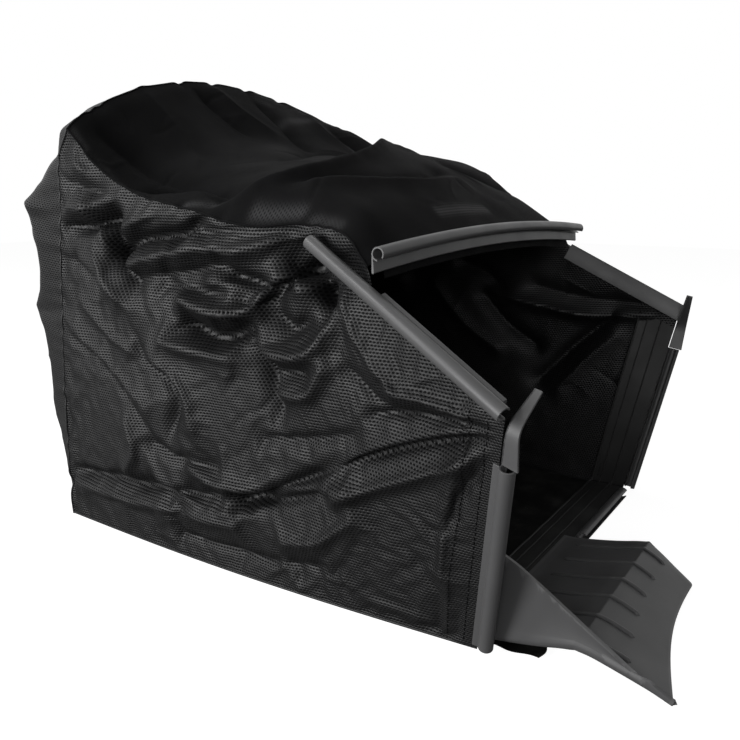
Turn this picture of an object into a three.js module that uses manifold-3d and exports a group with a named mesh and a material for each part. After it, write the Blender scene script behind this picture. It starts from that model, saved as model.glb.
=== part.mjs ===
// Grass collection bag for a walk-behind mower, without its wire frame.
// Origin at the centre of the flat base, +X towards the mouth, +Z up, +Y to the bag's left. Millimetres.
import * as THREE from "three";
import Module from "manifold-3d";
import { mergeVertices } from "three/addons/utils/BufferGeometryUtils.js";

// Base and mouth
const BASE_LENGTH = 452;
const MOUTH_HALF_WIDTH = 184;
const REAR_HALF_WIDTH = 189;
const BASE_EDGE_BOW = 8;
const SHOULDER_HEIGHT = 190;
const SHOULDER_REACH = 33;
const SHOULDER_SPREAD = 43;
const MOUTH_TOP_HEIGHT = 287;
const MOUTH_TOP_SETBACK = 79;
const MOUTH_TOP_HALF_WIDTH = 197;
const MOUTH_CORNER_DROP = 7;
const MOUTH_CORNER_SETBACK = 7;
const MOUTH_CORNER_SHARPNESS = 16;
const UPPER_EDGE_FALL = 24;
const UPPER_EDGE_ADVANCE = 10;
const UPPER_EDGE_SPREAD = 4;
const SEAM_PINCH = 12;
const SEAM_PINCH_LENGTH = 0.4;

// Rear end
const REAR_TOP_INSET = 42;
const REAR_TOP_HEIGHT_RIGHT = 375;
const REAR_TOP_HEIGHT_LEFT = 405;
const REAR_RIM_ARCH = 46;
const REAR_RIM_BACK = 34;
const REAR_RIM_ROUNDNESS = 0.8;
const REAR_BULGE_LOW = 34;
const REAR_BULGE_HIGH = 134;
const REAR_BULGE_WIDTH_CURVE = 0.33;
const REAR_BULGE_HEIGHT_CURVE = 0.5;
const SIDE_BELLY = 10;
const TOP_CROWN = 20;
const TOP_CROWN_END = 0.8;
const TOP_CROWN_LEFT_SHARE = 0.1;
const TOP_BASIN = 26;
const TOP_BASIN_START = 0.38;
const TOP_BASIN_LEFT_SHARE = 0.6;

// Cloth
const MESH_THICKNESS = 1.8;
const TOP_CLOTH_THICKNESS = 1.8;
const VINYL_THICKNESS = 1.8;
const SEAM_GAP = 0.8;
const BAND_WIDTH = 35;
const BAND_THICKNESS = 1.2;
const BAND_TOP_SETBACK = 12;
const FIT_GAP = 0.3;
const MITRE_LIMIT = 0.45;

// Channel clips: a slotted tube with a flange that is sewn to the cloth
const CLIP_DIAMETER = 11;
const TOP_CLIP_DIAMETER = 10;
const CLIP_WALL = 1.3;
const CLIP_SLOT = 6;
const CLIP_FLANGE = 8;
const CLIP_FLANGE_THICKNESS = 1.4;
const CLIP_EDGE_GAP = 0.7;
const FLANGE_GAP = 0.8;
const UPPER_CLIP_OVERRUN = 75;
const UPPER_CLIP_START = -1;
const UPPER_CLIP_FORWARD = 5.2;
const UPPER_HOOK_START = 20;
const UPPER_HOOK_SETBACK = 10;
const LOWER_CLIP_TOP_SETBACK = 34;
const LOWER_CLIP_BOTTOM_SETBACK = 5;
const TOP_CLIP_OVERHANG = 7;
const TOP_CLIP_ARCH = 8;
const TOP_CLIP_FLANGE_DROP = 9;
const TOP_CLIP_RISE = 3;
const TOP_HEM_CLEARANCE = 1.5;
const TOP_HEM_DROP = 13;
const TOP_HEM_END_SETBACK = 12;
const TOP_ARCH_CELLS = 12;
const BOTTOM_CLIP_END_SETBACK = 22;
const CLIP_ARC_STEP = 0.42;
const CLIP_CELLS = 5;

// Shoulder tabs
const TAB_LOWER_LENGTH = 26;
const TAB_UPPER_LENGTH = 32;
const TAB_FOOT_WIDTH = 13;
const TAB_TIP_WIDTH = 6;
const TAB_THICKNESS = 1.8;
const TAB_GUSSET = 9;
const TAB_LEAN_RIGHT = 1;
const TAB_LEAN_LEFT = 0.3;

// Chute
const CHUTE_RIGHT_SETBACK = 9;
const CHUTE_LEFT = 23;
const CHUTE_FLANGE = 9;
const CHUTE_BEND_REACH = 68;
const CHUTE_BEND_HEIGHT = 21;
const CHUTE_LIP_REACH_RIGHT = 134;
const CHUTE_LIP_REACH_LEFT = 112;
const CHUTE_LIP_HEIGHT = 1;
const CHUTE_LIP_HOLLOW = 9;
const CHUTE_LIP_TAPER = 22;
const CHUTE_CLIMB_CURVE = 1.2;
const CHUTE_CLIMB_DIP = 0.12;
const CHUTE_FALL_CURVE = 1.1;
const CHUTE_THICKNESS = 2.6;
const CHUTE_WALL_HEIGHT = 68;
const CHUTE_RIB_COUNT = 6;
const CHUTE_RIB_WIDTH = 4;
const CHUTE_RIB_HEIGHT = 1.4;
const CHUTE_RIB_MARGIN = 18;
const CHUTE_RIB_START = 10;
const CHUTE_RIB_END = 0.79;
const CHUTE_WALL_START = 9;
const CHUTE_WALL_CREST = 34;
const CHUTE_WALL_CREST_DROP = 8;
const CHUTE_FLOOR_CELLS = 5;
const CHUTE_LIP_CELLS = 5;
const CHUTE_CLIP_CLEARANCE = 4;
const FLAP_REACH = 20;
const FLAP_THICKNESS = 1.2;
const FLAP_WAVE = 3;
const FLAP_WAVE_COUNT = 3;

// Grid fineness of the cloth
const BAND_CELLS = 2;
const CLIPPED_CELLS = 4;
const SEAM_CELLS = 13;
const WIDTH_CELLS = 12;
const SIDE_ROWS = 12;
// Shares of the side's length: where the clipped edge ends and where the top seam starts
const CLIPPED_SHARE = 0.26;
const SEAM_SHARE = 0.3;
// Shares of a panel over which its belly and folds die away towards its edges
const SIDE_FADE = 0.14;
const BAND_FADE = 0.1;
const POCKET_FADE = 0.05;
const TOP_FRONT_FADE = 0.2;
const TOP_FADE = 0.1;
const REAR_FADE = 0.12;
// How far in from an edge, as a share of the panel, the cloth's direction is felt for
const PROBE = 0.04;
const MERGE_DISTANCE = 1e-4;

const materials = {
  mesh: new THREE.MeshStandardMaterial({ color: 0x17181a, roughness: 0.55, metalness: 0 }),
  cloth: new THREE.MeshStandardMaterial({ color: 0x101113, roughness: 0.8, metalness: 0 }),
  vinyl: new THREE.MeshStandardMaterial({ color: 0x0d0d0e, roughness: 0.4, metalness: 0 }),
  plastic: new THREE.MeshStandardMaterial({ color: 0x333537, roughness: 0.42, metalness: 0 }),
};

const wasm = await Module();
wasm.setup();

const MOUTH_X = BASE_LENGTH / 2;
const REAR_X = -BASE_LENGTH / 2;
const BAND_SHARE = BAND_WIDTH / BASE_LENGTH;
const at = (x, y, z) => new THREE.Vector3(x, y, z);
const lerp = THREE.MathUtils.lerp;
const bump = (t) => Math.sin(Math.PI * THREE.MathUtils.clamp(t, 0, 1));
const steps = (count) => Array.from({ length: count + 1 }, (_, i) => i / count);

// Corner points of one half: side -1 is the right, side 1 the left
const baseFront = (side) => at(MOUTH_X, side * MOUTH_HALF_WIDTH, 0);
function shoulder(side) {
  return at(MOUTH_X + SHOULDER_REACH, side * (MOUTH_HALF_WIDTH + SHOULDER_SPREAD), SHOULDER_HEIGHT);
}
const mouthTop = (side) => topHemCurve(side < 0 ? 0 : 1);
const rearTopHeight = (side) => (side < 0 ? REAR_TOP_HEIGHT_RIGHT : REAR_TOP_HEIGHT_LEFT);
const rearTop = (side) => at(REAR_X + REAR_TOP_INSET, side * REAR_HALF_WIDTH, rearTopHeight(side));

// The seams between the sides and the top: how far back they are, and how much of their climb is done there
const SEAM_CLIMB_RIGHT = [
  [0, 0], [0.07, 0.19], [0.2, 0.26], [0.35, 0.24], [0.55, 0.36], [0.72, 0.46], [0.87, 0.66], [1, 1],
];
const SEAM_CLIMB_LEFT = [[0, 0], [0.1, 0.17], [0.31, 0.5], [0.54, 0.59], [0.73, 0.74], [0.87, 0.9], [1, 1]];
// The seam between side and rear: how high it is, and how much of the top corner's inset is reached there
const REAR_SEAM_INSET = [[0, 0], [0.3, 0.05], [0.6, 0.28], [0.82, 0.5], [0.94, 0.62], [1, 1]];

function throughPoints(points) {
  const curve = new THREE.CatmullRomCurve3(points, false, "centripetal");
  return (t) => curve.getPointAt(THREE.MathUtils.clamp(t, 0, 1));
}

function topHemCurve(t) {
  const across = lerp(-1, 1, t);
  const corner = across ** MOUTH_CORNER_SHARPNESS;
  return at(
    MOUTH_X - MOUTH_TOP_SETBACK - MOUTH_CORNER_SETBACK * corner,
    across * MOUTH_TOP_HALF_WIDTH,
    MOUTH_TOP_HEIGHT - TOP_CLIP_ARCH * across ** 2 - MOUTH_CORNER_DROP * corner,
  );
}

function seamCurve(side) {
  const start = mouthTop(side);
  const end = rearTop(side);
  const climbs = side < 0 ? SEAM_CLIMB_RIGHT : SEAM_CLIMB_LEFT;
  return throughPoints(climbs.map(([back, climb]) => at(
    lerp(start.x, end.x, back),
    lerp(start.y, end.y, back) - side * SEAM_PINCH * bump(back / SEAM_PINCH_LENGTH),
    lerp(start.z, end.z, climb),
  )));
}

function rearSeamCurve(side) {
  const end = rearTop(side);
  return throughPoints(REAR_SEAM_INSET.map(([high, inset]) => at(
    lerp(REAR_X, end.x, inset),
    side * REAR_HALF_WIDTH,
    end.z * high,
  )));
}

function baseEdge(side) {
  return (t) => {
    const half = lerp(MOUTH_HALF_WIDTH, REAR_HALF_WIDTH, t) + BASE_EDGE_BOW * bump(t);
    return at(lerp(MOUTH_X, REAR_X, t), side * half, 0);
  };
}

// The clipped edge ends below the hem's corner, and the cloth climbs from there to the corner
function clippedTop(side) {
  return mouthTop(side).add(at(UPPER_EDGE_ADVANCE, side * UPPER_EDGE_SPREAD, -UPPER_EDGE_FALL));
}
const lowerEdge = (side) => (t) => baseFront(side).lerp(shoulder(side), t);

function upperEdge(side) {
  const seam = seamCurve(side);
  return (t) => {
    if (t <= CLIPPED_SHARE) return shoulder(side).lerp(clippedTop(side), t / CLIPPED_SHARE);
    if (t < SEAM_SHARE) {
      const climb = (t - CLIPPED_SHARE) / (SEAM_SHARE - CLIPPED_SHARE);
      return clippedTop(side).lerp(mouthTop(side), climb);
    }
    return seam((t - SEAM_SHARE) / (1 - SEAM_SHARE));
  };
}

function rearRimCurve(t) {
  const round = bump(t) ** REAR_RIM_ROUNDNESS;
  return rearTop(-1).lerp(rearTop(1), t).add(at(-REAR_RIM_BACK * round, 0, REAR_RIM_ARCH * round));
}

const rearBaseEdge = (t) => at(REAR_X, lerp(-REAR_HALF_WIDTH, REAR_HALF_WIDTH, t), 0);

// A surface blended between four edge curves
function blended(bottom, top, front, back) {
  const corners = [bottom(0), bottom(1), top(0), top(1)];
  return (u, v) => bottom(u).multiplyScalar(1 - v)
    .addScaledVector(top(u), v)
    .addScaledVector(front(v), 1 - u)
    .addScaledVector(back(v), u)
    .addScaledVector(corners[0], -(1 - u) * (1 - v))
    .addScaledVector(corners[1], -u * (1 - v))
    .addScaledVector(corners[2], -(1 - u) * v)
    .addScaledVector(corners[3], -u * v);
}

// Folds: a ridge (positive height) or a valley (negative) along a path of surface coordinates.
// A fold marked open reaches to the mouth's edge: it makes room below the free end of the upper clip.
const CLIP_POCKET = { path: [[0.31, 0.95], [0.44, 0.93]], width: 18, height: -16, open: true };
const SIDE_FOLDS_RIGHT = [
  CLIP_POCKET,
  { path: [[0.66, 0.77], [0.55, 0.77], [0.45, 0.88], [0.38, 0.9]], width: 13, height: 13 },
  { path: [[0.66, 0.69], [0.53, 0.71]], width: 12, height: -13 },
  { path: [[0.51, 0.72], [0.43, 0.68], [0.34, 0.78]], width: 13, height: 9 },
  { path: [[0.43, 0.6], [0.36, 0.61], [0.34, 0.67]], width: 12, height: 7 },
  { path: [[0.39, 0.87], [0.365, 0.83]], width: 14, height: -12 },
  { path: [[0.83, 0.8], [0.6, 0.92], [0.45, 0.97]], width: 14, height: 7 },
  { path: [[0.97, 0.78], [0.86, 0.88], [0.82, 0.82]], width: 13, height: -8 },
  { path: [[0.97, 0.57], [0.75, 0.41]], width: 22, height: 8 },
  { path: [[0.77, 0.57], [0.67, 0.47], [0.68, 0.4]], width: 14, height: 7 },
  { path: [[0.1, 0.8], [0.16, 0.68], [0.28, 0.5]], width: 12, height: 7 },
  { path: [[0.12, 0.78], [0.19, 0.64], [0.33, 0.41], [0.5, 0.23]], width: 11, height: -8 },
  { path: [[0.95, 0.14], [0.68, 0.19], [0.53, 0.23]], width: 16, height: -6 },
];
const SIDE_FOLDS_LEFT = [
  CLIP_POCKET,
  { path: [[0.3, 0.75], [0.5, 0.7], [0.8, 0.84]], width: 20, height: -9 },
  { path: [[0.15, 0.7], [0.35, 0.5], [0.6, 0.5]], width: 18, height: 9 },
  { path: [[0.15, 0.5], [0.4, 0.25]], width: 18, height: -7 },
  { path: [[0.95, 0.3], [0.55, 0.34]], width: 20, height: 8 },
  { path: [[0.9, 0.62], [0.6, 0.6]], width: 18, height: -8 },
];
const TOP_FOLDS = [
  { path: [[0.02, 0.42], [0.12, 0.47], [0.25, 0.52], [0.5, 0.56], [0.95, 0.4]], width: 19, height: 11 },
  { path: [[0.03, 0.5], [0.2, 0.6], [0.45, 0.66], [0.85, 0.6]], width: 18, height: -16 },
  { path: [[0.34, 0.98], [0.42, 0.86], [0.52, 0.76]], width: 15, height: -9 },
  { path: [[0.44, 0.98], [0.52, 0.86], [0.64, 0.74]], width: 15, height: 7 },
  { path: [[0.08, 0.72], [0.2, 0.76], [0.3, 0.84]], width: 16, height: 8 },
  { path: [[0.58, 0.96], [0.68, 0.82], [0.86, 0.72]], width: 15, height: -8 },
];
const REAR_FOLDS = [
  { path: [[0.03, 0.58], [0.2, 0.54], [0.4, 0.5], [0.7, 0.6]], width: 18, height: -13 },
  { path: [[0.03, 0.7], [0.2, 0.72], [0.5, 0.7]], width: 16, height: 8 },
  { path: [[0.03, 0.8], [0.2, 0.85], [0.5, 0.78], [0.9, 0.82]], width: 17, height: -9 },
  { path: [[0.05, 0.25], [0.3, 0.3], [0.5, 0.34], [0.9, 0.24]], width: 19, height: 9 },
  { path: [[0.1, 0.12], [0.5, 0.16], [0.9, 0.1]], width: 17, height: -7 },
  { path: [[0.3, 0.9], [0.34, 0.7], [0.42, 0.5]], width: 15, height: 7 },
  { path: [[0.66, 0.92], [0.62, 0.7]], width: 15, height: -8 },
];

function distanceToPath(point, path) {
  let nearest = Infinity;
  for (let i = 0; i + 1 < path.length; i += 1) {
    const span = new THREE.Line3(path[i], path[i + 1]);
    const foot = span.closestPointToPoint(point, true, new THREE.Vector3());
    nearest = Math.min(nearest, foot.distanceTo(point));
  }
  return nearest;
}

const rise = (t, width) => THREE.MathUtils.smoothstep(t, 0, width);
const openFade = (u, v) => rise(u - CLIPPED_SHARE, BAND_FADE) * rise(1 - v, POCKET_FADE);

// Adds a belly and folds to a blended surface; both fade out at the seams and stay off the flat mouth band
function shaped(surface, outward, belly, folds, fade) {
  const placed = folds.map((fold) => ({ ...fold, path: fold.path.map(([u, v]) => surface(u, v)) }));
  return (u, v) => {
    const point = surface(u, v);
    let push = belly(u, v) * fade(u, v);
    for (const fold of placed) {
      const depth = fold.height * Math.exp(-((distanceToPath(point, fold.path) / fold.width) ** 2));
      push += depth * (fold.open ? openFade(u, v) : fade(u, v));
    }
    return point.addScaledVector(outward, push);
  };
}

const bothEnds = (t, width) => rise(t, width) * rise(1 - t, width);
function sideFade(u, v) {
  return rise(u - BAND_SHARE, BAND_FADE) * rise(1 - u, SIDE_FADE) * bothEnds(v, SIDE_FADE);
}
const topFade = (w, u) => rise(u, TOP_FRONT_FADE) * rise(1 - u, TOP_FADE) * bothEnds(w, TOP_FADE);
const sideBelly = (u, v) => SIDE_BELLY * bump(u) * bump(v);

const plainSide = (side) => blended(baseEdge(side), upperEdge(side), lowerEdge(side), rearSeamCurve(side));
const sideSurface = (side) => shaped(
  plainSide(side),
  at(0, side, 0),
  sideBelly,
  side < 0 ? SIDE_FOLDS_RIGHT : SIDE_FOLDS_LEFT,
  sideFade,
);
function topBelly(w, u) {
  const crown = TOP_CROWN * bump(u / TOP_CROWN_END);
  const basin = TOP_BASIN * bump((u - TOP_BASIN_START) / (1 - TOP_BASIN_START));
  return crown * lerp(1, TOP_CROWN_LEFT_SHARE, w) - basin * lerp(1, TOP_BASIN_LEFT_SHARE, w);
}
const topSurface = shaped(
  blended(topHemCurve, rearRimCurve, seamCurve(-1), seamCurve(1)),
  at(0, 0, 1),
  topBelly,
  TOP_FOLDS,
  topFade,
);
function bulge(w, v) {
  const share = bump(w) ** REAR_BULGE_WIDTH_CURVE * bump(v) ** REAR_BULGE_HEIGHT_CURVE;
  return lerp(REAR_BULGE_LOW, REAR_BULGE_HIGH, v) * share;
}
const rearPlain = blended(rearBaseEdge, rearRimCurve, rearSeamCurve(-1), rearSeamCurve(1));
const rearSurface = shaped(
  (w, v) => rearPlain(w, v).addScaledVector(at(-1, 0, 0), bulge(w, v)),
  at(-1, 0, 0),
  () => 0,
  REAR_FOLDS,
  (w, v) => bothEnds(w, REAR_FADE) * bothEnds(v, REAR_FADE),
);
const bottomSurface = (u, w) => baseEdge(-1)(u).lerp(baseEdge(1)(u), w);

// Grids of points. Lines of the sides' grids lie on the band's edge, at the clipped edge's end and at the
// seam's start.
const lengthShares = [
  ...steps(BAND_CELLS).map((t) => t * BAND_SHARE),
  ...steps(CLIPPED_CELLS).slice(1).map((t) => lerp(BAND_SHARE, CLIPPED_SHARE, t)),
  ...steps(SEAM_CELLS).map((t) => lerp(SEAM_SHARE, 1, t)),
];
const seamShares = steps(SEAM_CELLS);
const rowShares = steps(SIDE_ROWS);
const acrossShares = steps(WIDTH_CELLS);
const grid = (surface, us, vs, flip) => ({ points: us.map((u) => vs.map((v) => surface(u, v))), flip });
const panels = {
  right: grid(sideSurface(-1), lengthShares, rowShares, true),
  left: grid(sideSurface(1), lengthShares, rowShares, false),
  top: grid(topSurface, acrossShares, seamShares, false),
  rear: grid(rearSurface, acrossShares, rowShares, true),
  bottom: grid(bottomSurface, lengthShares, acrossShares, false),
};

const seamKey = (p) => [p.x, p.y, p.z].map((value) => Math.round(value * 100)).join(" ");

// Area-weighted outward direction of each grid point within its own panel
function panelNormals({ points, flip }) {
  const normals = points.map((line) => line.map(() => at(0, 0, 0)));
  for (let i = 0; i + 1 < points.length; i += 1) {
    for (let j = 0; j + 1 < points[i].length; j += 1) {
      const across = points[i + 1][j + 1].clone().sub(points[i][j]);
      const back = points[i][j + 1].clone().sub(points[i + 1][j]);
      const normal = across.cross(back).multiplyScalar(flip ? -1 : 1);
      [[i, j], [i + 1, j], [i, j + 1], [i + 1, j + 1]].forEach(([a, b]) => normals[a][b].add(normal));
    }
  }
  return normals.map((line) => line.map((normal) => normal.normalize()));
}

// At a seam the two panels share one direction, long enough to keep both panels' thickness there
const seamNormals = new Map();
for (const panel of Object.values(panels)) {
  panel.normals = panelNormals(panel);
  panel.points.forEach((line, i) => line.forEach((point, j) => {
    const key = seamKey(point);
    seamNormals.set(key, [...(seamNormals.get(key) ?? []), panel.normals[i][j]]);
  }));
}
for (const panel of Object.values(panels)) {
  panel.mitres = panel.points.map((line) => line.map((point) => {
    const meeting = seamNormals.get(seamKey(point));
    const shared = meeting.reduce((sum, normal) => sum.add(normal), at(0, 0, 0)).normalize();
    const slant = Math.min(...meeting.map((normal) => normal.dot(shared)));
    return shared.divideScalar(Math.max(slant, MITRE_LIMIT));
  }));
}

const lastOf = (panel) => [panel.points.length - 1, panel.points[0].length - 1];

// Points of part of a panel, sunk below its outer face and drawn in at its edges
function layer(panel, sink, drawIn, from = [0, 0], to = lastOf(panel)) {
  const lines = [];
  for (let i = from[0]; i <= to[0]; i += 1) {
    const line = [];
    for (let j = from[1]; j <= to[1]; j += 1) {
      const point = panel.points[i][j].clone();
      const pull = (a, b, amount) => {
        const towards = panel.points[a][b].clone().sub(panel.points[i][j]).normalize();
        point.addScaledVector(towards, amount);
      };
      if (i === from[0]) pull(i + 1, j, drawIn.start ?? 0);
      if (i === to[0]) pull(i - 1, j, drawIn.end ?? 0);
      if (j === from[1]) pull(i, j + 1, drawIn.low ?? 0);
      if (j === to[1]) pull(i, j - 1, drawIn.high ?? 0);
      line.push(point.addScaledVector(panel.mitres[i][j], -sink));
    }
    lines.push(line);
  }
  return lines;
}

// A closed solid between an outer and an inner layer of the same size
function sheetGeometry(outer, inner, flip) {
  const rows = outer.length;
  const columns = outer[0].length;
  const positions = [...outer.flat(), ...inner.flat()].flatMap((point) => point.toArray());
  const index = (side, i, j) => side * rows * columns + i * columns + j;
  const triangles = [];
  const quad = (a, b, c, d) => (flip
    ? triangles.push(a, c, b, a, d, c)
    : triangles.push(a, b, c, a, c, d));
  for (let i = 0; i + 1 < rows; i += 1) {
    for (let j = 0; j + 1 < columns; j += 1) {
      quad(index(0, i, j), index(0, i + 1, j), index(0, i + 1, j + 1), index(0, i, j + 1));
      quad(index(1, i, j), index(1, i, j + 1), index(1, i + 1, j + 1), index(1, i + 1, j));
    }
  }
  for (let i = 0; i + 1 < rows; i += 1) {
    quad(index(0, i, 0), index(1, i, 0), index(1, i + 1, 0), index(0, i + 1, 0));
    const j = columns - 1;
    quad(index(0, i, j), index(0, i + 1, j), index(1, i + 1, j), index(1, i, j));
  }
  for (let j = 0; j + 1 < columns; j += 1) {
    quad(index(0, 0, j), index(0, 0, j + 1), index(1, 0, j + 1), index(1, 0, j));
    const i = rows - 1;
    quad(index(0, i, j), index(1, i, j), index(1, i, j + 1), index(0, i, j + 1));
  }
  const geometry = new THREE.BufferGeometry();
  geometry.setAttribute("position", new THREE.Float32BufferAttribute(positions, 3));
  geometry.setIndex(triangles);
  return geometry;
}

const bag = new THREE.Group();
function addPiece(name, geometry, material) {
  const piece = new THREE.Mesh(geometry, material);
  piece.name = name;
  bag.add(piece);
  return piece;
}

function addPanel(name, panel, thickness, material, drawIn) {
  const geometry = sheetGeometry(layer(panel, 0, drawIn), layer(panel, thickness, drawIn), panel.flip);
  addPiece(name, geometry, material);
}

// Each panel stops half a seam gap short of its neighbours; the mouth's edge is left where it is
const seam = SEAM_GAP / 2;
const behindMouth = { end: seam, low: seam, high: seam };
const behindHem = { start: seam, end: seam, high: seam };
const allRound = { start: seam, end: seam, low: seam, high: seam };
addPanel("side_panel_right", panels.right, MESH_THICKNESS, materials.mesh, behindMouth);
addPanel("side_panel_left", panels.left, MESH_THICKNESS, materials.mesh, behindMouth);
addPanel("top_panel", panels.top, TOP_CLOTH_THICKNESS, materials.cloth, behindHem);
addPanel("rear_panel", panels.rear, MESH_THICKNESS, materials.mesh, allRound);
addPanel("bottom_panel", panels.bottom, VINYL_THICKNESS, materials.vinyl, behindMouth);

// Vinyl bands sewn inside the lower mouth
function addBand(name, panel, panelThickness, drawIn, from, to) {
  const sink = panelThickness + FIT_GAP;
  const outer = layer(panel, sink, drawIn, from, to);
  const inner = layer(panel, sink + BAND_THICKNESS, drawIn, from, to);
  addPiece(name, sheetGeometry(outer, inner, panel.flip), materials.vinyl);
}

const bandFoot = VINYL_THICKNESS + FIT_GAP;
const bandSide = MESH_THICKNESS + BAND_THICKNESS + 2 * FIT_GAP;
const sideBandEdges = { low: bandFoot, high: BAND_TOP_SETBACK };
addBand("mouth_band_right", panels.right, MESH_THICKNESS, sideBandEdges, [0, 0], [BAND_CELLS, SIDE_ROWS]);
addBand("mouth_band_left", panels.left, MESH_THICKNESS, sideBandEdges, [0, 0], [BAND_CELLS, SIDE_ROWS]);
const bottomBandEdges = { low: bandSide, high: bandSide };
const bandEnd = [BAND_CELLS, WIDTH_CELLS];
addBand("mouth_band_bottom", panels.bottom, VINYL_THICKNESS, bottomBandEdges, [0, 0], bandEnd);

// Joining and cutting closed solids
function solidOf(geometry) {
  const bare = geometry.clone();
  bare.deleteAttribute("normal");
  bare.deleteAttribute("uv");
  const merged = mergeVertices(bare, MERGE_DISTANCE);
  return new wasm.Manifold(new wasm.Mesh({
    numProp: 3,
    vertProperties: new Float32Array(merged.attributes.position.array),
    triVerts: new Uint32Array(merged.index.array),
  }));
}

function geometryOf(solid) {
  const mesh = solid.getMesh();
  const geometry = new THREE.BufferGeometry();
  geometry.setAttribute("position", new THREE.Float32BufferAttribute(mesh.vertProperties, 3));
  geometry.setIndex([...mesh.triVerts]);
  return geometry;
}

const joined = (geometries) => geometryOf(geometries.map(solidOf).reduce((sum, solid) => sum.add(solid)));

// Points of an arc round a centre, from one angle to another
function arcPoints([x, y], radius, from, to, count) {
  return steps(count).map((t) => {
    const angle = lerp(from, to, t);
    return [x + radius * Math.cos(angle), y + radius * Math.sin(angle)];
  });
}

function tubeOutline(centre, diameter, slotAngle) {
  return clipOutline(centre, diameter, slotAngle, [slotAngle + Math.PI, slotAngle + Math.PI], []);
}

// Outline of a clip: a slotted tube, and a flange that leaves it between two angles through the given points
function clipOutline(centre, diameter, slotAngle, [flangeFrom, flangeTo], flange) {
  const outer = diameter / 2;
  const inner = outer - CLIP_WALL;
  const outerGap = Math.asin(CLIP_SLOT / 2 / outer);
  const innerGap = Math.asin(CLIP_SLOT / 2 / inner);
  const full = slotAngle + 2 * Math.PI;
  const cells = (from, to) => Math.max(2, Math.round(Math.abs(to - from) / CLIP_ARC_STEP));
  return [
    ...arcPoints(centre, outer, slotAngle + outerGap, flangeFrom, cells(slotAngle, flangeFrom)),
    ...flange,
    ...arcPoints(centre, outer, flangeTo, full - outerGap, cells(flangeTo, full)),
    ...arcPoints(centre, inner, full - innerGap, slotAngle + innerGap, cells(slotAngle, full)),
  ];
}

function signedVolume(geometry) {
  const position = geometry.attributes.position;
  const index = geometry.index;
  const corner = (i) => new THREE.Vector3().fromBufferAttribute(position, index.getX(i));
  let volume = 0;
  for (let i = 0; i < index.count; i += 3) {
    volume += corner(i).dot(corner(i + 1).cross(corner(i + 2))) / 6;
  }
  return volume;
}

// A flat outline set up at each place in turn and skinned from the first to the last
function lofted(drawn, places) {
  const clockwise = THREE.ShapeUtils.isClockWise(drawn.map(([x, y]) => new THREE.Vector2(x, y)));
  const outline = clockwise ? [...drawn].reverse() : drawn;
  const count = outline.length;
  const positions = places.flatMap(({ origin, xAxis, yAxis }) => outline.flatMap(([x, y]) => (
    origin.clone().addScaledVector(xAxis, x).addScaledVector(yAxis, y).toArray()
  )));
  const flat = outline.map(([x, y]) => new THREE.Vector2(x, y));
  const triangles = [];
  const last = (places.length - 1) * count;
  for (const [a, b, c] of THREE.ShapeUtils.triangulateShape(flat, [])) {
    triangles.push(a, b, c, last + a, last + c, last + b);
  }
  for (let place = 0; place + 1 < places.length; place += 1) {
    for (let i = 0; i < count; i += 1) {
      const next = (i + 1) % count;
      const [a, b, c, d] = [i, next, count + next, count + i].map((value) => value + place * count);
      triangles.push(a, c, b, a, d, c);
    }
  }
  const geometry = new THREE.BufferGeometry();
  geometry.setAttribute("position", new THREE.Float32BufferAttribute(positions, 3));
  geometry.setIndex(triangles);
  if (signedVolume(geometry) < 0) geometry.setIndex([...triangles].reverse());
  return geometry;
}

// A flat plate: an outline given depth along a direction
function plate(outline, origin, xAxis, yAxis, depthAxis, depth) {
  return lofted(outline, [0, depth].map((amount) => ({
    origin: origin.clone().addScaledVector(depthAxis, amount),
    xAxis,
    yAxis,
  })));
}

// The place of a clip on an edge of the cloth: X leads away from the bag, Y out of the cloth.
// The probe is a point of the cloth a little way in from the edge.
function edgePlace(side, origin, end, probe) {
  const along = end.clone().sub(origin).normalize();
  const cloth = probe.sub(origin);
  const xAxis = cloth.addScaledVector(along, -cloth.dot(along)).normalize().negate();
  const yAxis = along.clone().cross(xAxis).normalize();
  if (yAxis.y * side < 0) yAxis.negate();
  return { origin, xAxis, yAxis, along };
}

function slid(place, distance) {
  return { ...place, origin: place.origin.clone().addScaledVector(place.along, distance) };
}
const clipRadius = CLIP_DIAMETER / 2;
const lowerLength = (side) => baseFront(side).distanceTo(shoulder(side));
const upperLength = (side) => shoulder(side).distanceTo(clippedTop(side));

function lowerPlace(side, distance) {
  const share = distance / lowerLength(side);
  return edgePlace(side, lowerEdge(side)(share), shoulder(side), plainSide(side)(PROBE, share));
}

function upperPlace(side, distance) {
  const share = (distance / upperLength(side)) * CLIPPED_SHARE;
  return edgePlace(side, upperEdge(side)(share), clippedTop(side), plainSide(side)(share, 1 - PROBE));
}

// The angle at which a clip's slot looks straight at the bag's middle
const slotAngle = (side, { xAxis, yAxis }) => Math.atan2(-side * yAxis.y, -side * xAxis.y);

// Places from one distance to another along an edge
const placesAlong = (place, side, from, to) => steps(CLIP_CELLS).map((t) => place(side, lerp(from, to, t)));

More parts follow.
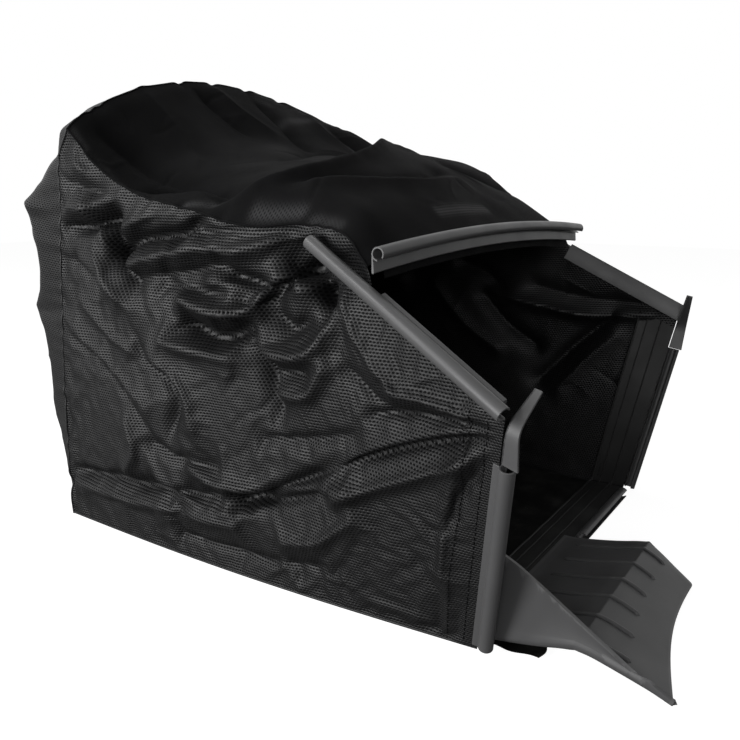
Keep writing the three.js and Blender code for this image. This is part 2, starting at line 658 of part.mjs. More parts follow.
// Upper clip: its tube lies on the cloth's outer face, and a hook round the edge holds the flange inside
function upperClip(side) {
  const length = upperLength(side);
  const centre = [UPPER_CLIP_FORWARD, clipRadius + FIT_GAP];
  const foot = { ...upperPlace(side, length / 2), origin: shoulder(side) };
  const tube = lofted(tubeOutline(centre, CLIP_DIAMETER, slotAngle(side, foot)), [
    slid(foot, UPPER_CLIP_START),
    slid(foot, length + UPPER_CLIP_OVERRUN),
  ]);
  const inside = -(MESH_THICKNESS + FLANGE_GAP);
  const hookBack = CLIP_EDGE_GAP;
  const hookFront = CLIP_EDGE_GAP + CLIP_FLANGE_THICKNESS;
  const wallRadius = clipRadius - CLIP_WALL / 2;
  const hookTop = centre[1] - Math.sqrt(wallRadius ** 2 - (centre[0] - (hookBack + hookFront) / 2) ** 2);
  const hook = lofted([
    [hookBack, hookTop],
    [hookBack, inside],
    [-CLIP_FLANGE, inside],
    [-CLIP_FLANGE, inside - CLIP_FLANGE_THICKNESS],
    [hookFront, inside - CLIP_FLANGE_THICKNESS],
    [hookFront, hookTop],
  ], placesAlong(upperPlace, side, UPPER_HOOK_START, length - UPPER_HOOK_SETBACK));
  return joined([tube, hook]);
}

// Lower clip: its tube stands in front of the cloth's edge, its flange on the outer face of the hem
function lowerClip(side) {
  const centre = [CLIP_EDGE_GAP + clipRadius, 0];
  const outside = FLANGE_GAP + CLIP_FLANGE_THICKNESS;
  const angles = [outside, FLANGE_GAP].map((y) => Math.PI - Math.asin(y / clipRadius));
  const middle = lowerPlace(side, lowerLength(side) / 2);
  const outline = clipOutline(centre, CLIP_DIAMETER, slotAngle(side, middle), angles, [
    [-CLIP_FLANGE, outside],
    [-CLIP_FLANGE, FLANGE_GAP],
  ]);
  const top = lowerLength(side) - LOWER_CLIP_TOP_SETBACK;
  return lofted(outline, placesAlong(lowerPlace, side, LOWER_CLIP_BOTTOM_SETBACK, top));
}

for (const [name, side] of [["right", -1], ["left", 1]]) {
  addPiece(`upper_clip_${name}`, upperClip(side), materials.plastic);
  addPiece(`lower_clip_${name}`, lowerClip(side), materials.plastic);
}

// Bottom clip: its tube lies on the ground in front of the base, its flange on the vinyl band
function bottomClip() {
  const flangeFoot = VINYL_THICKNESS + BAND_THICKNESS + 2 * FIT_GAP;
  const flangeTop = flangeFoot + CLIP_FLANGE_THICKNESS;
  const angles = [flangeTop, flangeFoot].map((y) => Math.PI - Math.asin((y - clipRadius) / clipRadius));
  const centre = [CLIP_EDGE_GAP + clipRadius, clipRadius];
  const outline = clipOutline(centre, CLIP_DIAMETER, 0, angles, [
    [-CLIP_FLANGE, flangeTop],
    [-CLIP_FLANGE, flangeFoot],
  ]);
  const start = CHUTE_LEFT + CHUTE_CLIP_CLEARANCE;
  const length = MOUTH_HALF_WIDTH - BOTTOM_CLIP_END_SETBACK - start;
  return plate(outline, at(MOUTH_X, start, 0), at(1, 0, 0), at(0, 0, 1), at(0, 1, 0), length);
}
addPiece("bottom_clip", bottomClip(), materials.plastic);

// Places along the top hem's arch, each with the hem's front edge as origin
function hemPlaces(half) {
  return steps(TOP_ARCH_CELLS).map((t) => {
    const y = lerp(-half, half, t);
    const across = y / MOUTH_TOP_HALF_WIDTH;
    const origin = at(MOUTH_X - MOUTH_TOP_SETBACK, y, MOUTH_TOP_HEIGHT - TOP_CLIP_ARCH * across ** 2);
    return { origin, xAxis: at(1, 0, 0), yAxis: at(0, 0, 1) };
  });
}

// Top hem: a strip that hangs below the top panel's edge, behind the top clip's flange
const hemStart = -(TOP_CLOTH_THICKNESS + FIT_GAP + TOP_HEM_CLEARANCE);
addPiece("top_hem", lofted([
  [0, hemStart],
  [0, hemStart - TOP_HEM_DROP],
  [-TOP_CLOTH_THICKNESS, hemStart - TOP_HEM_DROP],
  [-TOP_CLOTH_THICKNESS, hemStart],
], hemPlaces(MOUTH_TOP_HALF_WIDTH - TOP_HEM_END_SETBACK)), materials.cloth);

// Top clip: arched with the hem, its flange hanging down in front of the hem strip
function topClip() {
  const radius = TOP_CLIP_DIAMETER / 2;
  const centre = [CLIP_EDGE_GAP + radius, TOP_CLIP_RISE];
  const flangeBack = FLANGE_GAP;
  const flangeFront = FLANGE_GAP + CLIP_FLANGE_THICKNESS;
  const flangeFoot = TOP_CLIP_RISE - radius - TOP_CLIP_FLANGE_DROP;
  const angles = [flangeBack, flangeFront].map((x) => 2 * Math.PI - Math.acos((x - centre[0]) / radius));
  const outline = clipOutline(centre, TOP_CLIP_DIAMETER, 0, angles, [
    [flangeBack, flangeFoot],
    [flangeFront, flangeFoot],
  ]);
  return lofted(outline, hemPlaces(MOUTH_TOP_HALF_WIDTH + TOP_CLIP_OVERHANG));
}
addPiece("top_clip", topClip(), materials.plastic);

// Shoulder tab: a bent, tapered finger with a gusset, standing on the lower clip beside the edge
function shoulderTab(side) {
  const lean = side < 0 ? TAB_LEAN_RIGHT : TAB_LEAN_LEFT;
  const place = lowerPlace(side, lowerLength(side) - LOWER_CLIP_TOP_SETBACK + FIT_GAP);
  const { along, xAxis: forward, yAxis: outward } = place;
  const foot = place.origin.clone().addScaledVector(forward, CLIP_EDGE_GAP);
  const bendShare = TAB_LOWER_LENGTH / (TAB_LOWER_LENGTH + TAB_UPPER_LENGTH);
  const bendWidth = lerp(TAB_FOOT_WIDTH, TAB_TIP_WIDTH, bendShare);
  const overlap = TAB_THICKNESS / 2;
  const lowerLeg = [
    [0, 0],
    [TAB_FOOT_WIDTH, 0],
    [bendWidth, TAB_LOWER_LENGTH + overlap],
    [0, TAB_LOWER_LENGTH + overlap],
  ];
  const upperLeg = [
    [0, -overlap],
    [bendWidth, -overlap],
    [TAB_TIP_WIDTH, TAB_UPPER_LENGTH],
    [0, TAB_UPPER_LENGTH],
  ];
  const gusset = [
    [0, -overlap],
    [TAB_GUSSET, -overlap],
    [TAB_THICKNESS, TAB_UPPER_LENGTH],
    [0, TAB_UPPER_LENGTH],
  ];
  const inwards = outward.clone().negate();
  const bend = foot.clone().addScaledVector(along, TAB_LOWER_LENGTH);
  const climb = along.clone().multiplyScalar(Math.cos(lean)).addScaledVector(inwards, Math.sin(lean));
  const across = inwards.clone().multiplyScalar(Math.cos(lean)).addScaledVector(along, -Math.sin(lean));
  return joined([
    plate(lowerLeg, foot, forward, along, inwards, TAB_THICKNESS),
    plate(upperLeg, bend, forward, climb, across, TAB_THICKNESS),
    plate(gusset, bend, across, climb, forward, TAB_THICKNESS),
  ]);
}
addPiece("shoulder_tab_right", shoulderTab(-1), materials.plastic);
addPiece("shoulder_tab_left", shoulderTab(1), materials.plastic);

// Chute: a ribbed floor that climbs to a bend and falls away as a lip, with one side wall and a rear flange
const chuteRight = -(MOUTH_HALF_WIDTH - CHUTE_RIGHT_SETBACK);
const chuteFoot = VINYL_THICKNESS + BAND_THICKNESS + 2 * FIT_GAP;
const chuteWidth = CHUTE_LEFT - chuteRight;
function lipReach(share) {
  return lerp(CHUTE_LIP_REACH_RIGHT, CHUTE_LIP_REACH_LEFT, share) - CHUTE_LIP_HOLLOW * bump(share);
}
function lipShare(reach, share) {
  return THREE.MathUtils.clamp((reach - CHUTE_BEND_REACH) / (lipReach(share) - CHUTE_BEND_REACH), 0, 1);
}
// The lip's left edge slants in towards the lip
function chuteAcross(reach, share) {
  return lerp(chuteRight, CHUTE_LEFT - CHUTE_LIP_TAPER * lipShare(reach, share), share);
}
function chuteFloor(reach, share) {
  if (reach < CHUTE_BEND_REACH) {
    const climb = THREE.MathUtils.clamp(reach / CHUTE_BEND_REACH, 0, 1);
    const climbed = climb ** CHUTE_CLIMB_CURVE * (1 - CHUTE_CLIMB_DIP * bump(climb));
    return lerp(chuteFoot + CHUTE_THICKNESS, CHUTE_BEND_HEIGHT, climbed);
  }
  const fall = lipShare(reach, share) ** CHUTE_FALL_CURVE;
  return lerp(CHUTE_BEND_HEIGHT, CHUTE_LIP_HEIGHT + CHUTE_THICKNESS, fall);
}
function chuteSheet() {
  const reaches = (share) => [
    -CHUTE_FLANGE,
    0,
    ...steps(CHUTE_FLOOR_CELLS).slice(1).map((t) => t * CHUTE_BEND_REACH),
    ...steps(CHUTE_LIP_CELLS).slice(1).map((t) => lerp(CHUTE_BEND_REACH, lipReach(share), t)),
  ];
  const faces = (sink) => acrossShares.map((share) => reaches(share).map((reach) => at(
    MOUTH_X + reach,
    chuteAcross(reach, share),
    chuteFloor(reach, share) - sink,
  )));
  return sheetGeometry(faces(0), faces(CHUTE_THICKNESS), true);
}
function chuteWall() {
  const low = [
    ...steps(CHUTE_FLOOR_CELLS).map((t) => t * CHUTE_BEND_REACH),
    ...steps(CHUTE_LIP_CELLS).slice(1).map((t) => lerp(CHUTE_BEND_REACH, lipReach(0), t)),
  ].map((reach) => [MOUTH_X + reach, chuteFloor(reach, 0) - CHUTE_THICKNESS]);
  const front = MOUTH_X + CHUTE_WALL_START;
  const outline = [
    [front, chuteFoot],
    ...low.filter(([x]) => x > front),
    [MOUTH_X + lipReach(0), CHUTE_LIP_HEIGHT + CHUTE_THICKNESS],
    [MOUTH_X + CHUTE_WALL_START + CHUTE_WALL_CREST, CHUTE_WALL_HEIGHT - CHUTE_WALL_CREST_DROP],
    [front, chuteFoot + CHUTE_WALL_HEIGHT],
  ];
  return plate(outline, at(0, chuteRight, 0), at(1, 0, 0), at(0, 0, 1), at(0, 1, 0), CHUTE_THICKNESS);
}
function chuteRibs() {
  return steps(CHUTE_RIB_COUNT - 1).map((t) => {
    const y = lerp(chuteRight + CHUTE_RIB_MARGIN, CHUTE_LEFT - CHUTE_RIB_MARGIN, t);
    const share = (y - chuteRight) / chuteWidth;
    const reachEnd = lipReach(share) * CHUTE_RIB_END;
    const parts = steps(CHUTE_FLOOR_CELLS + CHUTE_LIP_CELLS);
    const reaches = parts.map((part) => lerp(CHUTE_RIB_START, reachEnd, part));
    const profile = (lift) => reaches.map((reach) => [MOUTH_X + reach, chuteFloor(reach, share) + lift]);
    const outline = [...profile(CHUTE_RIB_HEIGHT), ...profile(-CHUTE_THICKNESS / 2).reverse()];
    const origin = at(0, y - CHUTE_RIB_WIDTH / 2, 0);
    return plate(outline, origin, at(1, 0, 0), at(0, 0, 1), at(0, 1, 0), CHUTE_RIB_WIDTH);
  });
}
addPiece("chute", joined([chuteSheet(), chuteWall(), ...chuteRibs()]), materials.plastic);

// Vinyl apron on the ground under the chute's rear edge, with a wavy front edge
function chuteFlap() {
  const edge = steps(WIDTH_CELLS).map((t) => [
    MOUTH_X + FLAP_REACH + FLAP_WAVE * Math.sin(t * FLAP_WAVE_COUNT * 2 * Math.PI),
    lerp(chuteRight, CHUTE_LEFT, t),
  ]);
  const outline = [[MOUTH_X + FIT_GAP, chuteRight], ...edge, [MOUTH_X + FIT_GAP, CHUTE_LEFT]];
  return plate(outline, at(0, 0, 0), at(1, 0, 0), at(0, 1, 0), at(0, 0, 1), FLAP_THICKNESS);
}
addPiece("chute_flap", chuteFlap(), materials.vinyl);

export default bag;
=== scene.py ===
# %% [markdown]
# # A grass collection bag for a walk-behind mower
# The bag is sewn from five cut pieces: two sides and a rear of open black mesh, a top of close matte cloth and a
# floor of black vinyl. Plastic clips are sewn round its mouth, which push on to a wire frame. A ribbed plastic
# chute is fixed to the mouth's lower edge. There is no wire frame in the bag here, so the cloth sags.
#
# Lengths in this script are written in millimetres and turned into metres when a piece is made.

import math

import bpy
import numpy as np
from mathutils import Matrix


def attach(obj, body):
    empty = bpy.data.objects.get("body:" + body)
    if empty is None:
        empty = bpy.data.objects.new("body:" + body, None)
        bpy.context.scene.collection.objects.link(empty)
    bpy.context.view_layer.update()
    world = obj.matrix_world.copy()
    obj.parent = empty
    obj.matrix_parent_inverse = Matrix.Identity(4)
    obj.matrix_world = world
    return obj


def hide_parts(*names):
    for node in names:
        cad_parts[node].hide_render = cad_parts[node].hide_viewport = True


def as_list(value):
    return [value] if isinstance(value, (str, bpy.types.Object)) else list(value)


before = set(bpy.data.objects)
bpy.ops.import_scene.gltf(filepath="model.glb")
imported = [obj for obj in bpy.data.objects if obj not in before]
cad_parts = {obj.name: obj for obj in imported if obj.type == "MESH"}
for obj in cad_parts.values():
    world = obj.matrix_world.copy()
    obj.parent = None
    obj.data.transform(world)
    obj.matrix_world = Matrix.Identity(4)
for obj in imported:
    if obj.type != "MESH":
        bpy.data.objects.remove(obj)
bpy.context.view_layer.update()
MM = 0.001
print("nodes in the frame:", len(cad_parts))

# %% [markdown]
# ## Camera
# The camera stands at the height of the bag's top, in front of its right half, and looks slightly down. Place,
# direction and focal length come from the corners of the base and the mouth in the photograph.

# %% Camera
CAMERA_PLACE = (438.7, -649.3, 325.2)
CAMERA_AZIMUTH = math.radians(33.25)
CAMERA_ELEVATION = math.radians(13.13)
LENS = 38.12
scene = bpy.context.scene
camera_data = bpy.data.cameras.new("camera")
camera_data.lens = LENS
camera_data.sensor_width = 36
camera_data.clip_start = 0.01
camera = bpy.data.objects.new("camera", camera_data)
camera.location = [value * MM for value in CAMERA_PLACE]
camera.rotation_euler = (math.pi / 2 - CAMERA_ELEVATION, 0, CAMERA_AZIMUTH)
scene.collection.objects.link(camera)
scene.camera = camera
print("camera: a lens of", LENS, "mm at", CAMERA_PLACE)

# %% [markdown]
# ## Studio
# The bag stands on a white floor before a white background. The camera and all reflections see the background
# as full white, while the light that it gives to the bag stays weak, so that black cloth stays black.

# %% Background
scene.view_settings.view_transform = "Standard"
WORLD_LIGHT = 0.15


class Nodes:
    """Short names for building one node tree."""

    def __init__(self, tree):
        self.tree = tree

    def add(self, kind, **settings):
        node = self.tree.nodes.new(kind)
        for name, value in settings.items():
            setattr(node, name, value)
        return node

    def join(self, value, socket):
        if isinstance(value, bpy.types.NodeSocket):
            self.tree.links.new(value, socket)
        else:
            socket.default_value = value

    def calc(self, operation, *values):
        node = self.add("ShaderNodeMath", operation=operation)
        for value, socket in zip(values, node.inputs):
            self.join(value, socket)
        return node.outputs[0]

    def mix(self, share, first, second):
        node = self.add("ShaderNodeMix", data_type="RGBA")
        self.join(share, node.inputs["Factor"])
        for value, socket in ((first, node.inputs[6]), (second, node.inputs[7])):
            self.join(value if isinstance(value, bpy.types.NodeSocket) else (*value, 1), socket)
        return node.outputs[2]

    def ramp(self, value, low, high, to_low=0.0, to_high=1.0):
        node = self.add("ShaderNodeMapRange", interpolation_type="SMOOTHSTEP")
        for item, socket in zip((value, low, high, to_low, to_high), node.inputs):
            self.join(item, socket)
        return node.outputs[0]

    def noise(self, vector, scale, detail=2.0, roughness=0.5):
        node = self.add("ShaderNodeTexNoise")
        self.join(vector, node.inputs["Vector"])
        self.join(scale, node.inputs["Scale"])
        self.join(detail, node.inputs["Detail"])
        self.join(roughness, node.inputs["Roughness"])
        return node.outputs["Fac"]


world = bpy.data.worlds.new("studio")
scene.world = world
world.use_nodes = True
world.node_tree.nodes.clear()
sky = Nodes(world.node_tree)
rays = sky.add("ShaderNodeLightPath").outputs
seen = sky.calc("MAXIMUM", rays["Is Camera Ray"], rays["Is Glossy Ray"])
seen = sky.calc("MAXIMUM", seen, rays["Is Transmission Ray"])
background = sky.add("ShaderNodeBackground")
level = sky.add("ShaderNodeMix", data_type="FLOAT")
sky.join(seen, level.inputs["Factor"])
level.inputs[2].default_value = WORLD_LIGHT
level.inputs[3].default_value = 1.0
sky.join(level.outputs[0], background.inputs["Strength"])
background.inputs["Color"].default_value = (1, 1, 1, 1)
sky.join(background.outputs[0], sky.add("ShaderNodeOutputWorld").inputs["Surface"])
print("background: white, giving light at a strength of", WORLD_LIGHT)

# %% [markdown]
# Four soft lamps light the bag: a small one high on the left, a large low one in front that the plastic
# reflects, a weaker one on the right, and a faint one over the bag's back.

# %% Lamps
LAMPS = {
    "key": {"place": (-0.9, -1.3, 1.35), "size": 0.4, "watts": 20},
    "low": {"place": (-0.55, -1.7, 0.4), "size": 0.8, "watts": 32},
    "front": {"place": (0.9, -1.7, 0.6), "size": 0.8, "watts": 10},
    "top": {"place": (-0.3, 0.5, 1.7), "size": 1.0, "watts": 4},
}
LAMP_AIM_HEIGHT = 0.2
for lamp_name, lamp in LAMPS.items():
    light = bpy.data.lights.new(lamp_name, "AREA")
    light.energy = lamp["watts"]
    light.shape = "DISK"
    light.size = lamp["size"]
    holder = bpy.data.objects.new(lamp_name, light)
    holder.location = lamp["place"]
    aim = -holder.location.copy()
    aim.z += LAMP_AIM_HEIGHT
    holder.rotation_euler = aim.to_track_quat("-Z", "Y").to_euler()
    scene.collection.objects.link(holder)
print("lamps:", ", ".join(LAMPS))

# %% [markdown]
# The ground is matte gray, and the camera sees a white glow on top of it. So it looks white and only a faint
# shadow is left, while little light comes back from it to the bag's underside.

# %% Ground
GROUND_HALF = 4.0
GROUND_DROP = 0.0004
GROUND_GRAY = 0.3
GROUND_GLOW = 0.93
floor_mesh = bpy.data.meshes.new("floor")
corners = ((-1, -1), (1, -1), (1, 1), (-1, 1))
floor_mesh.from_pydata([(x * GROUND_HALF, y * GROUND_HALF, -GROUND_DROP) for x, y in corners], [], [(0, 1, 2, 3)])
floor = bpy.data.objects.new("floor", floor_mesh)
scene.collection.objects.link(floor)
floor_material = bpy.data.materials.new("floor")
floor_material.use_nodes = True
floor_material.node_tree.nodes.clear()
ground = Nodes(floor_material.node_tree)
matte = ground.add("ShaderNodeBsdfDiffuse")
matte.inputs["Color"].default_value = (GROUND_GRAY, GROUND_GRAY, GROUND_GRAY, 1)
lift = ground.add("ShaderNodeEmission")
for_camera = ground.add("ShaderNodeLightPath").outputs["Is Camera Ray"]
ground.join(ground.calc("MULTIPLY", for_camera, GROUND_GLOW), lift.inputs["Strength"])
both = ground.add("ShaderNodeAddShader")
ground.join(matte.outputs[0], both.inputs[0])
ground.join(lift.outputs[0], both.inputs[1])
ground.join(both.outputs[0], ground.add("ShaderNodeOutputMaterial").inputs["Surface"])
floor_mesh.materials.append(floor_material)
print("ground:", 2 * GROUND_HALF, "metres wide")

# %% [markdown]
# ## The bag's edges
# A sewn bag is decided by its seams, so those come first. The mouth leans back above its shoulders, the top seams
# dip behind the mouth and climb to a rim, and the rear seams stand almost upright. The rim is higher on the left.

# %% Sizes
BASE_LENGTH = 452
MOUTH_X = BASE_LENGTH / 2
REAR_X = -BASE_LENGTH / 2
MOUTH_HALF = 184
REAR_HALF = 189
BASE_BOW = 8
SHOULDER = (33, 43, 190)
HEM_SETBACK = 79
HEM_X = MOUTH_X - HEM_SETBACK
HEM_HALF = 197
HEM_HEIGHT = 287
HEM_ARCH = 8
HEM_CORNER = 7
HEM_CORNER_SHARPNESS = 16
CLIPPED_TOP = (10, 4, -24)
CLIPPED_SHARE = 0.26
SEAM_SHARE = 0.3
SEAM_PINCH = 12
SEAM_PINCH_SHARE = 0.4
BAND_WIDTH = 35
BAND_SHARE = BAND_WIDTH / BASE_LENGTH
RIM_HEIGHT = {-1: 375, 1: 405}
RIM_INSET = 42
RIM_ARCH = 46
RIM_BACK = 34
RIM_ROUNDNESS = 0.8
SEAM_CLIMB = {
    -1: [(0, 0), (0.07, 0.19), (0.2, 0.26), (0.35, 0.24), (0.55, 0.36), (0.72, 0.46), (0.87, 0.66), (1, 1)],
    1: [(0, 0), (0.1, 0.17), (0.31, 0.5), (0.54, 0.59), (0.73, 0.74), (0.87, 0.9), (1, 1)],
}
REAR_INSET = [(0, 0), (0.3, 0.05), (0.6, 0.28), (0.82, 0.5), (0.94, 0.62), (1, 1)]
print("mouth", 2 * MOUTH_HALF, "wide, base", BASE_LENGTH, "long, rim at", RIM_HEIGHT)

# %% [markdown]
# Each edge is a function of its share of the length, and takes whole arrays of shares at once. A side is -1 for
# the right and 1 for the left.

# %% Edge curves


def at(x, y, z):
    return np.stack(np.broadcast_arrays(x, y, z), -1).astype(float)


def mixed(a, b, t):
    return a + (b - a) * np.asarray(t, float)[..., None]


def bump(t):
    return np.sin(np.pi * np.clip(t, 0, 1))


def rise(t, width):
    s = np.clip(np.asarray(t, float) / width, 0, 1)
    return s * s * (3 - 2 * s)


def both_ends(t, width):
    return rise(t, width) * rise(1 - t, width)


def through(points):
    """A smooth curve through points, read by its share of the length."""
    p = np.asarray(points, float)
    p = np.vstack([2 * p[0] - p[1], p, 2 * p[-1] - p[-2]])
    dense = []
    for i in range(1, len(p) - 2):
        a, b, c, d = p[i - 1:i + 3]
        knots = np.cumsum([0] + [max(np.linalg.norm(n - m), 1e-6) ** 0.5 for m, n in ((a, b), (b, c), (c, d))])
        t = np.linspace(knots[1], knots[2], 24, endpoint=False)[:, None]
        k0, k1, k2, k3 = knots
        ab = ((k1 - t) * a + (t - k0) * b) / (k1 - k0)
        bc = ((k2 - t) * b + (t - k1) * c) / (k2 - k1)
        cd = ((k3 - t) * c + (t - k2) * d) / (k3 - k2)
        abc = ((k2 - t) * ab + (t - k0) * bc) / (k2 - k0)
        bcd = ((k3 - t) * bc + (t - k1) * cd) / (k3 - k1)
        dense.append(((k2 - t) * abc + (t - k1) * bcd) / (k2 - k1))
    dense = np.vstack(dense + [p[-2:-1]])
    run = np.concatenate([[0], np.cumsum(np.linalg.norm(np.diff(dense, axis=0), axis=1))])
    run /= run[-1]
    return lambda t: np.stack([np.interp(t, run, dense[:, k]) for k in range(p.shape[1])], -1)


def hem_curve(t):
    across = 2 * np.asarray(t, float) - 1
    corner = across ** HEM_CORNER_SHARPNESS
    return at(HEM_X - HEM_CORNER * corner, across * HEM_HALF,
              HEM_HEIGHT - HEM_ARCH * across ** 2 - HEM_CORNER * corner)


def base_front(side):
    return at(MOUTH_X, side * MOUTH_HALF, 0)


def shoulder(side):
    return at(MOUTH_X + SHOULDER[0], side * (MOUTH_HALF + SHOULDER[1]), SHOULDER[2])


def mouth_top(side):
    return hem_curve(0 if side < 0 else 1)


def rear_top(side):
    return at(REAR_X + RIM_INSET, side * REAR_HALF, RIM_HEIGHT[side])


def clipped_top(side):
    reach, spread, drop = CLIPPED_TOP
    return mouth_top(side) + at(reach, side * spread, drop)


def seam_curve(side):
    a, b = mouth_top(side), rear_top(side)
    points = []
    for back, climb in SEAM_CLIMB[side]:
        pinch = side * SEAM_PINCH * bump(back / SEAM_PINCH_SHARE)
        points.append(a + (b - a) * (back, back, climb) - (0, pinch, 0))
    return through(points)


def rear_seam_curve(side):
    top = rear_top(side)
    return through([[REAR_X + (top[0] - REAR_X) * inset, side * REAR_HALF, top[2] * high]
                    for high, inset in REAR_INSET])


def base_curve(side):
    def curve(t):
        t = np.asarray(t, float)
        half = MOUTH_HALF + (REAR_HALF - MOUTH_HALF) * t + BASE_BOW * bump(t)
        return at(MOUTH_X + (REAR_X - MOUTH_X) * t, side * half, 0)
    return curve


def upper_curve(side):
    seam = seam_curve(side)

    def curve(t):
        t = np.asarray(t, float)
        clipped = mixed(shoulder(side), clipped_top(side), np.clip(t / CLIPPED_SHARE, 0, 1))
        corner = np.clip((t - CLIPPED_SHARE) / (SEAM_SHARE - CLIPPED_SHARE), 0, 1)
        climb = mixed(clipped_top(side), mouth_top(side), corner)
        sewn = seam(np.clip((t - SEAM_SHARE) / (1 - SEAM_SHARE), 0, 1))
        above = np.where((t < SEAM_SHARE)[..., None], climb, sewn)
        return np.where((t <= CLIPPED_SHARE)[..., None], clipped, above)
    return curve


def lower_curve(side):
    return lambda t: mixed(base_front(side), shoulder(side), t)


def rim_curve(t):
    t = np.asarray(t, float)
    roundness = bump(t) ** RIM_ROUNDNESS
    return mixed(rear_top(-1), rear_top(1), t) + at(-RIM_BACK * roundness, 0, RIM_ARCH * roundness)


def rear_base_curve(t):
    return at(REAR_X, -REAR_HALF + 2 * REAR_HALF * np.asarray(t, float), 0)


def blended(bottom, top, front, back):
    """A surface blended between four edge curves."""
    c00, c10, c01, c11 = bottom(0.0), bottom(1.0), top(0.0), top(1.0)

    def surface(u, v):
        U, V = np.asarray(u, float)[..., None], np.asarray(v, float)[..., None]
        return (bottom(u) * (1 - V) + top(u) * V + front(v) * (1 - U) + back(v) * U
                - c00 * (1 - U) * (1 - V) - c10 * U * (1 - V) - c01 * (1 - U) * V - c11 * U * V)
    return surface


print("hem at a height of", HEM_HEIGHT, "mm, clipped share of the upper edge:", CLIPPED_SHARE)

# %% [markdown]
# ## Folds
# Slack cloth keeps the folds it was packed with. A fold is a path with a width and a height: positive heights
# stand out as ridges, negative ones sink as valleys. Those of the right side are drawn in its own plane, along
# the bag (x) and up (z), because that is the face that shows best. The others use shares of their panel.

# %% Folds
RIGHT_FOLDS = [
    ([(-38, 236), (2, 230), (31, 234), (44, 251), (61, 260), (76, 252), (92, 256), (94, 271)], 8, 11),
    ([(10, 258), (53, 252), (74, 264), (92, 278)], 6, -12),
    ([(-14, 252), (20, 250)], 7, 5),
    ([(-37, 214), (-8, 207), (17, 212)], 8, -15),
    ([(-60, 200), (-26, 196), (10, 194)], 9, 8),
    ([(29, 211), (43, 203), (63, 201), (91, 207), (107, 224), (113, 239)], 8, 10),
    ([(50, 230), (64, 222), (80, 226)], 9, -9),
    ([(58, 172), (90, 175), (105, 196)], 8, 7),
    ([(60, 188), (84, 190)], 6, -6),
    ([(-112, 258), (-63, 271), (-2, 279), (12, 277), (55, 286), (89, 292), (118, 287)], 9, 8),
    ([(-90, 250), (-40, 258), (0, 265)], 8, -6),
    ([(-204, 291), (-163, 291), (-124, 300)], 6, -13),
    ([(-178, 362), (-164, 342), (-131, 338), (-115, 323)], 7, 9),
    ([(-190, 307), (-155, 308), (-130, 316)], 7, 8),
    ([(-190, 330), (-164, 324), (-140, 322)], 6, -6),
    ([(-114, 319), (-76, 321), (-30, 305)], 7, 9),
    ([(-125, 268), (-98, 281), (-42, 290), (-20, 302)], 6, -12),
    ([(-112, 292), (-79, 302), (-46, 306)], 6, 5),
    ([(-127, 290), (-121, 265), (-101, 246)], 6, -11),
    ([(-150, 280), (-142, 258), (-120, 236)], 9, 6),
    ([(-22, 290), (36, 297), (80, 301)], 6, -6),
    ([(-218, 211), (-148, 174), (-92, 136)], 10, 5),
    ([(-210, 190), (-140, 156), (-100, 122)], 11, -4),
    ([(-175, 262), (-130, 240), (-104, 224)], 11, 5),
    ([(-99, 186), (-55, 150), (-61, 125)], 9, -7),
    ([(-80, 190), (-38, 160), (-30, 130)], 11, 6),
    ([(-120, 120), (-110, 92), (-128, 70)], 9, 6),
    ([(250, 177), (220, 172), (189, 161), (148, 143), (103, 113)], 5, 8),
    ([(250, 180), (212, 179), (181, 176), (150, 170)], 4, -6),
    ([(250, 183), (212, 187), (170, 190)], 5, 6),
    ([(250, 174), (205, 162), (166, 147), (96, 112), (13, 68)], 6, -10),
    ([(248, 166), (215, 146), (176, 128), (120, 100)], 7, 6),
    ([(246, 158), (224, 130), (208, 96)], 6, -4),
    ([(130, 110), (60, 92), (0, 84), (-40, 92)], 8, 7),
    ([(100, 98), (50, 78), (10, 72)], 6, -8),
    ([(-10, 98), (-60, 96), (-90, 104)], 7, -6),
    ([(-210, 50), (-150, 56), (-80, 61), (-12, 69)], 7, -8),
    ([(-212, 38), (-150, 40), (-60, 46), (10, 50)], 9, 6),
    ([(-60, 22), (20, 22), (90, 30)], 9, -4),
    ([(130, 84), (95, 57), (60, 48)], 10, 6),
    ([(92, 256), (102, 240)], 9, -20),
    ([(25, 220), (45, 190), (57, 159)], 8, -10),
    ([(118, 250), (136, 222), (170, 190)], 10, 5),
    ([(60, 268), (84, 262), (100, 268)], 5, -9),
    ([(18, 240), (38, 238), (52, 246)], 5, -7),
    ([(-70, 244), (-30, 246), (4, 242)], 6, -6),
    ([(-160, 316), (-146, 296), (-132, 270)], 6, 6),
    ([(-200, 262), (-176, 254), (-150, 244)], 8, -5),
    ([(-180, 225), (-120, 190), (-70, 176)], 6, 4),
    ([(128, 198), (150, 184), (176, 174)], 6, -4),
    ([(-86, 70), (-30, 58), (30, 62)], 6, 4),
    ([(40, 130), (90, 140), (130, 150)], 7, -4),
    ([(206, 60), (210, 110), (224, 150)], 8, 4),
]
LEFT_FOLDS = [
    ([(0.05, 0.95), (0.18, 0.81), (0.32, 0.7), (0.43, 0.66)], 7, -8),
    ([(0.06, 0.99), (0.2, 0.87), (0.34, 0.76)], 9, 5),
    ([(0.14, 0.84), (0.2, 0.66), (0.28, 0.41)], 9, 9),
    ([(0.12, 0.76), (0.17, 0.6), (0.22, 0.42)], 9, -5),
    ([(0.47, 0.62), (0.39, 0.56), (0.31, 0.53)], 8, 9),
    ([(0.54, 0.7), (0.48, 0.7), (0.42, 0.68)], 9, 8),
    ([(0.6, 0.6), (0.5, 0.5), (0.4, 0.46)], 10, -6),
    ([(0.9, 0.62), (0.7, 0.6)], 14, -8),
    ([(0.95, 0.3), (0.6, 0.34)], 15, 7),
    ([(0.92, 0.14), (0.6, 0.2), (0.4, 0.18)], 12, -5),
]
